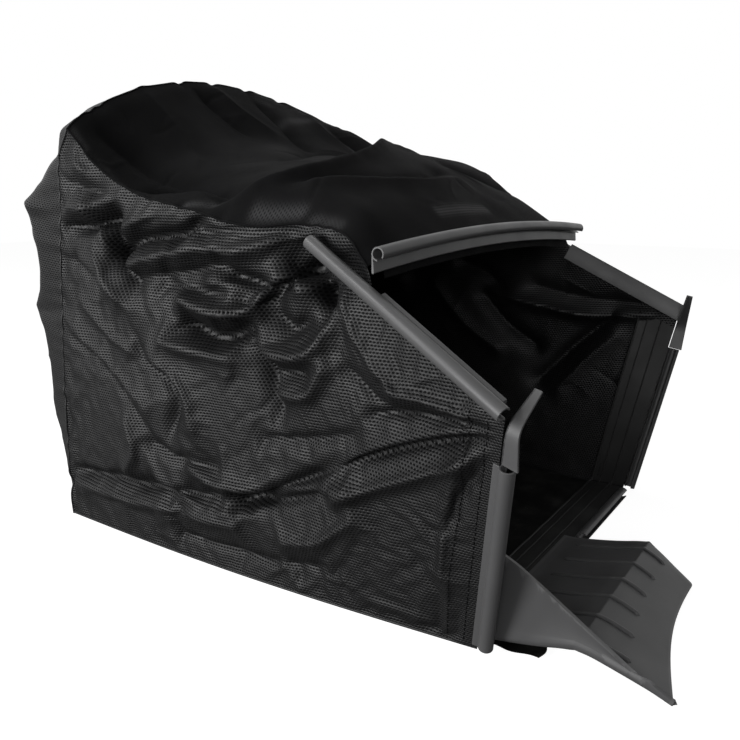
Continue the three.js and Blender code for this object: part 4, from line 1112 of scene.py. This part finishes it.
def rigid(name, parts, nodes=(), bevel=0.35):
    points, faces = merged(parts)
    piece = make_mesh(name, points, faces)
    edge = piece.modifiers.new("edges", "BEVEL")
    edge.width = bevel * MM
    edge.segments = 2
    edge.limit_method = "ANGLE"
    edge.angle_limit = math.radians(40)
    edge.harden_normals = True
    return finish_piece(piece, "plastic", nodes)


def unit(vector):
    return vector / np.linalg.norm(vector)


def edge_place(side, origin, end, probe):
    along = unit(end - origin)
    cloth = probe - origin
    x = -unit(cloth - along * cloth.dot(along))
    y = np.cross(along, x)
    return (origin, x, -y if y[1] * side < 0 else y, along)


def lower_place(side, distance):
    share = distance / np.linalg.norm(shoulder(side) - base_front(side))
    return edge_place(side, lower_curve(side)(share), shoulder(side), plain_side[side](0.04, share))


def upper_place(side, distance):
    share = distance / np.linalg.norm(clipped_top(side) - shoulder(side)) * CLIPPED_SHARE
    return edge_place(side, upper_curve(side)(share), clipped_top(side), plain_side[side](share, 0.96))


def facing_middle(side, place):
    return math.atan2(-side * place[2][1], -side * place[1][1])


def slid(place, distance):
    origin, x, y, along = place
    return (origin + along * distance, x, y)


clips = []
for side, word in ((-1, "right"), (1, "left")):
    upper_length = np.linalg.norm(clipped_top(side) - shoulder(side))
    lower_length = np.linalg.norm(shoulder(side) - base_front(side))
    middle = upper_place(side, upper_length / 2)
    foot = (shoulder(side), *middle[1:])
    centre = (UPPER_CLIP_FORWARD, CLIP_RADIUS + 0.3)
    outline = clip_outline(centre, CLIP_RADIUS, facing_middle(side, middle))
    places = [slid(foot, distance) for distance in np.linspace(-1, upper_length + UPPER_CLIP_OVERRUN, 12)]
    inside = -(MESH_THICKNESS + FLANGE_GAP)
    below = inside - FLANGE_THICKNESS
    plate = HOOK_FORWARD[side]
    hook = [(EDGE_GAP, 2.8), (EDGE_GAP, inside), (plate - FLANGE, inside), (plate - FLANGE, below),
            (plate + 7, below), (plate + 9.5, inside), (plate + 8.4, 0.6), (EDGE_GAP + FLANGE_THICKNESS, 2.8)]
    hook_start, hook_end = HOOK_REACH[side]
    distances = np.linspace(hook_start, upper_length + hook_end, 6)
    hook_places = [slid(middle, d - upper_length / 2) for d in distances]
    clips.append(rigid("upper_clip_tube_" + word, [swept(outline, places), swept(hook, hook_places)],
                       nodes=("upper_clip_" + word,)))
    middle = lower_place(side, lower_length / 2)
    outside = FLANGE_GAP + FLANGE_THICKNESS
    angles = [math.pi - math.asin(y / CLIP_RADIUS) for y in (outside, FLANGE_GAP)]
    outline = clip_outline((EDGE_GAP + CLIP_RADIUS, 0), CLIP_RADIUS, facing_middle(side, middle), angles,
                           [(-LOWER_FLANGE, outside), (-LOWER_FLANGE, FLANGE_GAP)])
    distances = np.linspace(LOWER_CLIP_ENDS[0], lower_length - LOWER_CLIP_ENDS[1], 10)
    places = [lower_place(side, d)[:3] for d in distances]
    clips.append(rigid("lower_clip_tube_" + word, [swept(outline, places)], nodes=("lower_clip_" + word,)))
print("clips at the sides:", len(clips))

# %% [markdown]
# The bottom clip lies on the ground beside the chute, with its flange on the vinyl band. The top clip is arched
# with the top's hem, which hangs behind its flange.

# %% Bottom and top clips
FOOT_HEIGHT = 1.8 + 1.2 + 0.6
BOTTOM_CLIP_ENDS = (27, 162)
TOP_CLIP_RISE = 3
TOP_CLIP_DROP = 8
TOP_CLIP_TURN = -1.15
TOP_CLIP_SLOT = 4
TOP_CLIP_OVERHANG = 7
HEM_END_SETBACK = 12
flange_heights = (FOOT_HEIGHT + FLANGE_THICKNESS, FOOT_HEIGHT)
angles = [math.pi - math.asin((y - CLIP_RADIUS) / CLIP_RADIUS) for y in flange_heights]
outline = clip_outline((EDGE_GAP + CLIP_RADIUS, CLIP_RADIUS), CLIP_RADIUS, 0, angles,
                       [(-FLANGE, y) for y in flange_heights])
x_axis, y_axis, z_axis = np.eye(3)
places = [(at(MOUTH_X, y, 0), x_axis, z_axis) for y in np.linspace(*BOTTOM_CLIP_ENDS, 8)]
clips.append(rigid("bottom_clip_tube", [swept(outline, places)], nodes=("bottom_clip",)))


def hem_places(half, count=36):
    ys = np.linspace(-half, half, count)
    return [(at(HEM_X, y, HEM_HEIGHT - HEM_ARCH * (y / HEM_HALF) ** 2), x_axis, z_axis) for y in ys]


centre = (EDGE_GAP + TOP_CLIP_RADIUS, TOP_CLIP_RISE)
foot = TOP_CLIP_RISE - TOP_CLIP_RADIUS - TOP_CLIP_DROP
angles = [2 * math.pi - math.acos((x - centre[0]) / TOP_CLIP_RADIUS) for x in (FLANGE_GAP, FLANGE_GAP + 1.4)]
flange = [(FLANGE_GAP, foot), (FLANGE_GAP + 1.0, foot - 0.8), (FLANGE_GAP + 2.2, foot)]
outline = clip_outline(centre, TOP_CLIP_RADIUS, TOP_CLIP_TURN, angles, flange, TOP_CLIP_SLOT)
places = hem_places(HEM_HALF + TOP_CLIP_OVERHANG)
clips.append(rigid("top_clip_tube", [swept(outline, places)], nodes=("top_clip",)))
hem_grid = np.array([[origin + at(-0.6 - 0.9 * math.sin(t * 3), 0, -3.4 - 13.5 * t) for t in even(5)]
                     for origin, _, _ in hem_places(HEM_HALF - HEM_END_SETBACK, 60)])
hem_grid[..., 0] += 0.8 * waves(hem_grid[..., [1, 2]], 40, 21)
top_hem = cloth_grid("cloth_top_hem", hem_grid, "cloth", hem_grid[..., [1, 2]], False, ("top_hem",), 1)
print("clips in all:", len(clips))

# %% [markdown]
# ## Shoulder tabs
# A bent finger of plastic stands above each lower clip and guides the frame's corner. It is a thin blade with a
# gusset along its back, and tapers to its tip.

# %% Shoulder tabs
TAB_LEAN = {-1: 1.0, 1: 0.8}
TAB_BEND = {-1: (0.3, 0.4), 1: (0.25, 0.35)}
TAB_START = 34
TAB_LENGTH = {-1: 58, 1: 68}
TAB_WIDTH, TAB_TAPER, TAB_THICKNESS = 13, 7, 1.8
GUSSET_DEPTH = 9
TAB_STEPS = 22
tabs = []
for side, word in ((-1, "right"), (1, "left")):
    lower_length = np.linalg.norm(shoulder(side) - base_front(side))
    origin, forward, out, along = lower_place(side, lower_length - TAB_START + 0.3)
    foot = origin + forward * EDGE_GAP
    inwards = -out
    parts = []
    blade, gusset = [], []
    for t in even(TAB_STEPS):
        turn = TAB_LEAN[side] * rise(t - TAB_BEND[side][0], TAB_BEND[side][1])
        climb = along * math.cos(turn) + inwards * math.sin(turn)
        across = inwards * math.cos(turn) - along * math.sin(turn)
        if t == 0:
            place = foot
        else:
            place = place + climb * TAB_LENGTH[side] / TAB_STEPS
        width_here = TAB_WIDTH - TAB_TAPER * t
        blade.append((place, forward * width_here / TAB_WIDTH, across))
        gusset.append((place, forward, across * (1 + 7 * rise(t - 0.25, 0.3) * (1 - 0.85 * t)) / 8))
    for x, y, tab_places in ((TAB_WIDTH, TAB_THICKNESS, blade), (TAB_THICKNESS, GUSSET_DEPTH, gusset)):
        parts.append(swept([(0, 0), (x, 0), (x, y), (0, y)], tab_places))
    tabs.append(rigid("tab_" + word, parts, nodes=("shoulder_tab_" + word,), bevel=0.5))
print("tabs:", len(tabs))

# %% [markdown]
# ## Chute
# The chute is one moulding: a floor that climbs out of the bag to a bend and falls away as a lip, with a wall on
# the right that sinks to nothing at the lip's tip. It is drawn as one bent sheet, from the wall's top edge round
# the corner and across the floor, and then given its thickness.

# %% Chute
CHUTE_RIGHT, CHUTE_LEFT = -(MOUTH_HALF - 9), 23
BEND_REACH, BEND_HEIGHT = 68, 21
LIP_RIGHT, LIP_LEFT, LIP_HOLLOW, LIP_TAPER = 134, 112, 9, 20
LIP_CORNER = 14
CHUTE_THICKNESS = 2.6
FLOOR_START = -9
WALL_START = 9
CORNER = 4
WALL_BOW = 1.5
WALL_ROWS, CORNER_ROWS, FLOOR_ROWS = 14, 7, 80
LOW = FOOT_HEIGHT + CHUTE_THICKNESS


def lip_reach(share):
    corner = np.clip((np.asarray(share, float) - 1) * (CHUTE_LEFT - CHUTE_RIGHT) / LIP_CORNER + 1, 0, 1)
    rounding = LIP_CORNER * (1 - np.sqrt(1 - corner ** 2))
    return LIP_RIGHT + (LIP_LEFT - LIP_RIGHT) * share - LIP_HOLLOW * bump(share) - rounding


def chute_height(reach, share):
    climb = np.clip(reach / BEND_REACH, 0, 1)
    rising = LOW + (BEND_HEIGHT - LOW) * climb ** 1.2 * (1 - 0.12 * bump(climb))
    fall = np.clip((reach - BEND_REACH) / (lip_reach(share) - BEND_REACH), 0, 1)
    falling = BEND_HEIGHT + (1 + CHUTE_THICKNESS - BEND_HEIGHT) * fall ** 1.1
    height = np.where(reach < BEND_REACH, rising, falling)
    return height - 1.2 * np.exp(-((reach - BEND_REACH) / 8) ** 2)


def chute_across(reach, share):
    fall = np.clip((reach - BEND_REACH) / (lip_reach(share) - BEND_REACH), 0, 1)
    return CHUTE_RIGHT + share * (CHUTE_LEFT - CHUTE_RIGHT - LIP_TAPER * fall)


WALL_TOP = through([(WALL_START, 78), (26, 70), (44, 59), (83, 34), (118, 12), (LIP_RIGHT, 4)])
dense_wall = WALL_TOP(even(200))
reaches_at = np.concatenate([np.linspace(0, 0.12, 7)[:-1], np.linspace(0.12, 1, 100)])
span = CHUTE_LEFT - CHUTE_RIGHT
grid = np.zeros((len(reaches_at), WALL_ROWS + CORNER_ROWS + FLOOR_ROWS + 1, 3))
for i, t in enumerate(reaches_at):
    wall_reach = FLOOR_START + (lip_reach(0.0) - FLOOR_START) * t
    corner_height = float(chute_height(np.array(wall_reach), np.array(CORNER / span)))
    top = float(np.interp(wall_reach, dense_wall[:, 0], dense_wall[:, 1]))
    top = max(top, corner_height + 0.6)
    radius = min(CORNER, max(top - corner_height, 0.6))
    bow = WALL_BOW * bump((wall_reach - WALL_START) / (LIP_RIGHT - WALL_START))
    for j in range(WALL_ROWS):
        s = j / WALL_ROWS
        z = top + (corner_height + radius - top) * s
        grid[i, j] = (MOUTH_X + wall_reach, CHUTE_RIGHT + bow * bump(s * 0.9), z)
    for j in range(CORNER_ROWS):
        angle = math.pi / 2 * j / CORNER_ROWS
        grid[i, WALL_ROWS + j] = (MOUTH_X + wall_reach, CHUTE_RIGHT + CORNER * (1 - math.cos(angle)),
                                  corner_height + radius * (1 - math.sin(angle)))
    floor_share = CORNER / span + (1 - CORNER / span) * even(FLOOR_ROWS)
    reach = FLOOR_START + (lip_reach(floor_share) - FLOOR_START) * t
    height = chute_height(reach, floor_share)
    grid[i, WALL_ROWS + CORNER_ROWS:] = at(MOUTH_X + reach, chute_across(reach, floor_share), height)
index = np.arange(grid.shape[0] * grid.shape[1]).reshape(grid.shape[:2])
faces = []
first_wall = int(np.argmax(FLOOR_START + (LIP_RIGHT - FLOOR_START) * reaches_at >= WALL_START))
for i in range(grid.shape[0] - 1):
    for j in range(grid.shape[1] - 1):
        if j < WALL_ROWS + CORNER_ROWS - 2 and i < first_wall:
            continue
        faces.append((index[i, j], index[i + 1, j], index[i + 1, j + 1], index[i, j + 1]))
chute = make_mesh("chute_moulding", grid.reshape(-1, 3), faces)
solid = chute.modifiers.new("thickness", "SOLIDIFY")
solid.thickness = CHUTE_THICKNESS * MM
solid.offset = -1
edge = chute.modifiers.new("edges", "BEVEL")
edge.width = 0.6 * MM
edge.segments = 3
edge.limit_method = "ANGLE"
edge.angle_limit = math.radians(50)
finish_piece(chute, "plastic", ("chute",))
print("chute:", len(faces), "faces")

# %% [markdown]
# Raised ribs stiffen the floor. Each is half round, runs over the bend and ends short of the lip's edge.

# %% Ribs of the chute
RIBS, RIB_HALF, RIB_HEIGHT = 6, 2.3, 2.2
RIB_START, RIB_END, RIB_MARGIN = 8, 0.79, 18


def rib(across):
    """Points and faces of one rib, half round and with rounded ends."""
    share = across / (CHUTE_LEFT - CHUTE_RIGHT)
    reaches = np.linspace(RIB_START, float(lip_reach(share)) * RIB_END, 60)
    ends = np.minimum(reaches - reaches[0], reaches[-1] - reaches)
    size = np.sqrt(np.clip(1 - (1 - np.minimum(ends, 3) / 3) ** 2, 0.0004, 1))
    angles = np.linspace(0, np.pi, 9)
    y = chute_across(reaches, share)[:, None] + RIB_HALF * size[:, None] * np.cos(angles)
    z = (chute_height(reaches, share) - 0.15)[:, None] + RIB_HEIGHT * size[:, None] * np.sin(angles)
    points = at(MOUTH_X + reaches[:, None], y, z)
    index = np.arange(y.size).reshape(y.shape)
    return points.reshape(-1, 3), [tuple(face) for face in grid_faces(index, True)]


ribs = [rib(across) for across in np.linspace(RIB_MARGIN, span - RIB_MARGIN, RIBS)]
finish_piece(make_mesh("chute_ribs", *merged(ribs)), "plastic")
print("ribs:", len(ribs))

# %% [markdown]
# A flap of vinyl lies under the chute and shows past its wall, wider at the right and with a wavy edge.

# %% Apron
U, W = np.meshgrid(even(10), even(120), indexing="ij")
width = 19 + 3 * np.sin(W * 6 * np.pi) + 1.4 * np.sin(W * 17 + 1) + 22 * np.exp(-(W / 0.3) ** 2)
apron = at(MOUTH_X + 0.5 + width * U, CHUTE_RIGHT - 2 + W * (CHUTE_LEFT - CHUTE_RIGHT + 2), 0)
apron[..., 1] += (1.6 * np.sin(U * 9) + 3 * U) * np.exp(-(W / 0.06) ** 2)
apron[..., 2] = 0.9 + 1.6 * U * (1 + np.sin(W * 6 * np.pi + 0.8)) / 2 + 1.6 * (1 - U) * np.exp(-(W / 0.1) ** 2)
flap = cloth_grid("vinyl_apron", apron, "vinyl", apron[..., :2], False, ("chute_flap",), 1)
print("apron: on average", round(float(width.mean()), 1), "mm wide")

# %% [markdown]
# ## Surface patterns
# Each pattern is a node group: the open mesh, which also shows on the top's places of painted sheen, the close
# weave of the top, the grain that all materials share, and the dust that lies on faces that look upwards. The
# mesh's holes are dark places on closed cloth.

# %% Shader node groups
def new_group(name, inputs, outputs):
    tree = bpy.data.node_groups.new(name, "ShaderNodeTree")
    for label, value in inputs.items():
        socket = tree.interface.new_socket(name=label, in_out="INPUT", socket_type="NodeSocketFloat")
        socket.default_value = value
    for label in outputs:
        tree.interface.new_socket(name=label, in_out="OUTPUT", socket_type="NodeSocketFloat")
    nodes = Nodes(tree)
    return tree, nodes, nodes.add("NodeGroupInput").outputs, nodes.add("NodeGroupOutput").inputs


def open_mesh_group():
    """Rows of small oval holes, each row shifted by half a hole, between rounded threads."""
    pitches = {"Hole pitch": 0.003, "Row pitch": 0.0023}
    tree, nodes, given, result = new_group("open mesh", pitches, ["Thread", "Height"])
    uv = nodes.add("ShaderNodeUVMap", uv_map="cloth").outputs[0]
    wander = nodes.calc("MULTIPLY", nodes.calc("SUBTRACT", nodes.noise(uv, 40.0), 0.5), 0.0012)
    parts = nodes.add("ShaderNodeSeparateXYZ")
    nodes.join(uv, parts.inputs[0])
    row_place = nodes.calc("DIVIDE", nodes.calc("ADD", parts.outputs[1], wander), given["Row pitch"])
    odd = nodes.calc("MULTIPLY", nodes.calc("FLOORED_MODULO", nodes.calc("FLOOR", row_place), 2.0), 0.5)
    hole_place = nodes.calc("ADD", nodes.calc("DIVIDE", parts.outputs[0], given["Hole pitch"]), odd)
    x = nodes.calc("SUBTRACT", nodes.calc("FRACT", hole_place), 0.5)
    y = nodes.calc("SUBTRACT", nodes.calc("FRACT", row_place), 0.5)
    squares = [nodes.calc("POWER", nodes.calc("ABSOLUTE", nodes.calc("MULTIPLY", value, stretch)), 2.0)
               for value, stretch in ((x, 0.8), (y, 1.2))]
    reach = nodes.calc("SQRT", nodes.calc("ADD", *squares))
    nodes.join(nodes.ramp(reach, 0.1, 0.42), result["Thread"])
    nodes.join(nodes.ramp(reach, 0.12, 0.5), result["Height"])
    return tree


def close_weave_group():
    """Crossed fine threads of a close cloth."""
    tree, nodes, given, result = new_group("close weave", {"Thread pitch": 0.0007}, ["Height"])
    uv = nodes.add("ShaderNodeUVMap", uv_map="cloth").outputs[0]
    parts = nodes.add("ShaderNodeSeparateXYZ")
    nodes.join(uv, parts.inputs[0])
    waves_of = []
    for axis in (0, 1):
        turns = nodes.calc("MULTIPLY", nodes.calc("DIVIDE", parts.outputs[axis], given["Thread pitch"]), math.pi)
        waves_of.append(nodes.calc("ABSOLUTE", nodes.calc("SINE", turns)))
    nodes.join(nodes.calc("MULTIPLY", waves_of[0], waves_of[1]), result["Height"])
    return tree


def grain_group():
    """Two sizes of noise: a fine grain for the surface and broad patches for its sheen."""
    tree, nodes, given, result = new_group("grain", {"Fine scale": 900.0, "Broad scale": 14.0}, ["Fine", "Broad"])
    place = nodes.add("ShaderNodeTexCoord").outputs["Object"]
    nodes.join(nodes.noise(place, given["Fine scale"], 2.0), result["Fine"])
    nodes.join(nodes.noise(place, given["Broad scale"], 4.0, 0.6), result["Broad"])
    return tree


def dust_group():
    """Specks and a thin veil of dust on faces that look upwards."""
    tree, nodes, given, result = new_group("dust", {"Amount": 0.3}, ["Mask"])
    place = nodes.add("ShaderNodeTexCoord").outputs["Object"]
    normal = nodes.add("ShaderNodeSeparateXYZ")
    nodes.join(nodes.add("ShaderNodeNewGeometry").outputs["Normal"], normal.inputs[0])
    up = nodes.ramp(normal.outputs[2], -0.1, 0.9)
    veil = nodes.ramp(nodes.noise(place, 26.0, 5.0, 0.7), 0.42, 0.75)
    specks = nodes.ramp(nodes.noise(place, 240.0, 1.0), 0.76, 0.8)
    both_masks = nodes.calc("MAXIMUM", nodes.calc("MULTIPLY", veil, 0.35), specks)
    nodes.join(nodes.calc("MULTIPLY", nodes.calc("MULTIPLY", both_masks, up), given["Amount"]), result["Mask"])
    return tree


groups = {"open mesh": open_mesh_group(), "close weave": close_weave_group(), "grain": grain_group(),
          "dust": dust_group()}
print("node groups:", ", ".join(groups))

# %% [markdown]
# ## Materials
# All five are black or nearly so, and differ in how they shine: the mesh's threads catch light along the folds,
# the top cloth hardly does except where a sheen is painted on its high places, the vinyl is smooth, the bands'
# vinyl is lighter and glossier than the floor's, and the plastic is a dark gray with an even satin.

# %% Materials
def new_material(name):
    material = bpy.data.materials.new(name)
    material.use_nodes = True
    material.node_tree.nodes.clear()
    nodes = Nodes(material.node_tree)
    shader = nodes.add("ShaderNodeBsdfPrincipled")
    nodes.join(shader.outputs[0], nodes.add("ShaderNodeOutputMaterial").inputs["Surface"])
    return material, nodes, shader.inputs


def use_group(nodes, name, **values):
    node = nodes.add("ShaderNodeGroup", node_tree=groups[name])
    for label, value in values.items():
        nodes.join(value, node.inputs[label.replace("_", " ")])
    return node.outputs


def bumped(nodes, height, distance, strength):
    node = nodes.add("ShaderNodeBump")
    nodes.join(height, node.inputs["Height"])
    node.inputs["Distance"].default_value = distance
    node.inputs["Strength"].default_value = strength
    return node.outputs[0]


def mesh_material():
    material, nodes, shader = new_material("black polyester mesh")
    weave = use_group(nodes, "open mesh")
    grain = use_group(nodes, "grain", Fine_scale=600.0, Broad_scale=9.0)
    dust = use_group(nodes, "dust", Amount=0.04)
    thread = nodes.mix(grain["Broad"], (0.0042, 0.0042, 0.0044), (0.0072, 0.0072, 0.0075))
    colour = nodes.mix(weave["Thread"], (0.0024, 0.0024, 0.0025), thread)
    nodes.join(nodes.mix(dust["Mask"], colour, (0.12, 0.12, 0.115)), shader["Base Color"])
    nodes.join(nodes.ramp(grain["Broad"], 0.3, 0.7, 0.42, 0.52), shader["Roughness"])
    nodes.join(nodes.calc("MULTIPLY", weave["Thread"], 0.22), shader["Specular IOR Level"])
    nodes.join(bumped(nodes, weave["Height"], 0.0005, 0.7), shader["Normal"])
    return material


def cloth_material():
    material, nodes, shader = new_material("black close cloth")
    weave = use_group(nodes, "close weave")
    grain = use_group(nodes, "grain", Fine_scale=700.0, Broad_scale=12.0)
    dust = use_group(nodes, "dust", Amount=0.03)
    colour = nodes.mix(grain["Broad"], (0.0035, 0.0035, 0.0037), (0.006, 0.006, 0.0062))
    open_weave = use_group(nodes, "open mesh", Hole_pitch=0.0034, Row_pitch=0.0027)
    # Painted sheen: where the top's point attribute marks a high place, its colour is lifted to a light gray
    # along the threads of an open weave, and it shines a little more.
    mark = nodes.add("ShaderNodeAttribute", attribute_name="painted_sheen").outputs["Fac"]
    shine = nodes.calc("MULTIPLY", mark, open_weave["Thread"])
    colour = nodes.mix(nodes.calc("MULTIPLY", shine, 0.8), colour, (0.03, 0.03, 0.031))
    nodes.join(nodes.mix(dust["Mask"], colour, (0.1, 0.1, 0.095)), shader["Base Color"])
    nodes.join(nodes.ramp(grain["Broad"], 0.35, 0.7, 0.7, 0.6), shader["Roughness"])
    nodes.join(nodes.calc("ADD", nodes.calc("MULTIPLY", shine, 0.07), 0.014), shader["Specular IOR Level"])
    nodes.join(bumped(nodes, weave["Height"], 0.00025, 0.5), shader["Normal"])
    return material


def vinyl_material(name, low, high, shine, dusty):
    material, nodes, shader = new_material(name)
    grain = use_group(nodes, "grain", Fine_scale=1100.0, Broad_scale=20.0)
    dust = use_group(nodes, "dust", Amount=dusty)
    colour = nodes.mix(grain["Broad"], (low, low, low), (high, high, high))
    nodes.join(nodes.mix(dust["Mask"], colour, (0.2, 0.2, 0.19)), shader["Base Color"])
    nodes.join(nodes.ramp(grain["Broad"], 0.3, 0.7, 0.4, 0.52), shader["Roughness"])
    shader["Specular IOR Level"].default_value = shine
    nodes.join(bumped(nodes, grain["Fine"], 0.0002, 0.35), shader["Normal"])
    return material


def plastic_material():
    material, nodes, shader = new_material("dark gray moulded plastic")
    grain = use_group(nodes, "grain", Fine_scale=1300.0, Broad_scale=22.0)
    dust = use_group(nodes, "dust", Amount=0.1)
    pointed = nodes.add("ShaderNodeNewGeometry").outputs["Pointiness"]
    worn = nodes.ramp(pointed, 0.52, 0.6, 0.0, 0.5)
    colour = nodes.mix(grain["Broad"], (0.046, 0.046, 0.0466), (0.056, 0.056, 0.057))
    colour = nodes.mix(worn, colour, (0.1, 0.1, 0.101))
    nodes.join(nodes.mix(dust["Mask"], colour, (0.2, 0.2, 0.19)), shader["Base Color"])
    nodes.join(nodes.ramp(grain["Broad"], 0.3, 0.7, 0.38, 0.48), shader["Roughness"])
    shader["Specular IOR Level"].default_value = 0.24
    nodes.join(bumped(nodes, grain["Fine"], 0.00012, 0.3), shader["Normal"])
    return material


materials = {
    "mesh": mesh_material(),
    "cloth": cloth_material(),
    "vinyl": vinyl_material("black coated vinyl", 0.0035, 0.0055, 0.06, 0.3),
    "vinyl band": vinyl_material("black vinyl band", 0.009, 0.014, 0.14, 0.2),
    "plastic": plastic_material(),
}
for piece_name, slot in MATERIAL_OF.items():
    bpy.data.objects[piece_name].data.materials.append(materials[slot])
print("materials:", ", ".join(materials), "on", len(MATERIAL_OF), "pieces")

# %% [markdown]
# ## What is cloth
# For each panel its flat size, as it lay on the cutting table, its area and the pieces sewn to it are worked out,
# but nothing is done with them.

def flat_of(grid):
    lengths = run_lengths(grid)[-1, -1] * MM
    return (round(float(lengths[0]), 3), round(float(lengths[1]), 3))


sewn_to = {
    "side_right": [seam_pieces["top_right"], seam_pieces["base_right"], seam_pieces["stitches_side_right"]],
    "side_left": [seam_pieces["top_left"], seam_pieces["base_left"], seam_pieces["stitches_side_left"]],
    "rear": [seam_pieces["rear_right"], seam_pieces["rear_left"], seam_pieces["base_rear"]],
    "top": [seam_pieces["rim"]],
}
for name, piece in panels.items():
    flat_of(fine[name])
    round(flat_area(fine[name]), 4)
    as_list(sewn_to[name])
print("sheets declared:", len(panels) + len(bands) + len(hems) + len((base, top_hem, flap)))
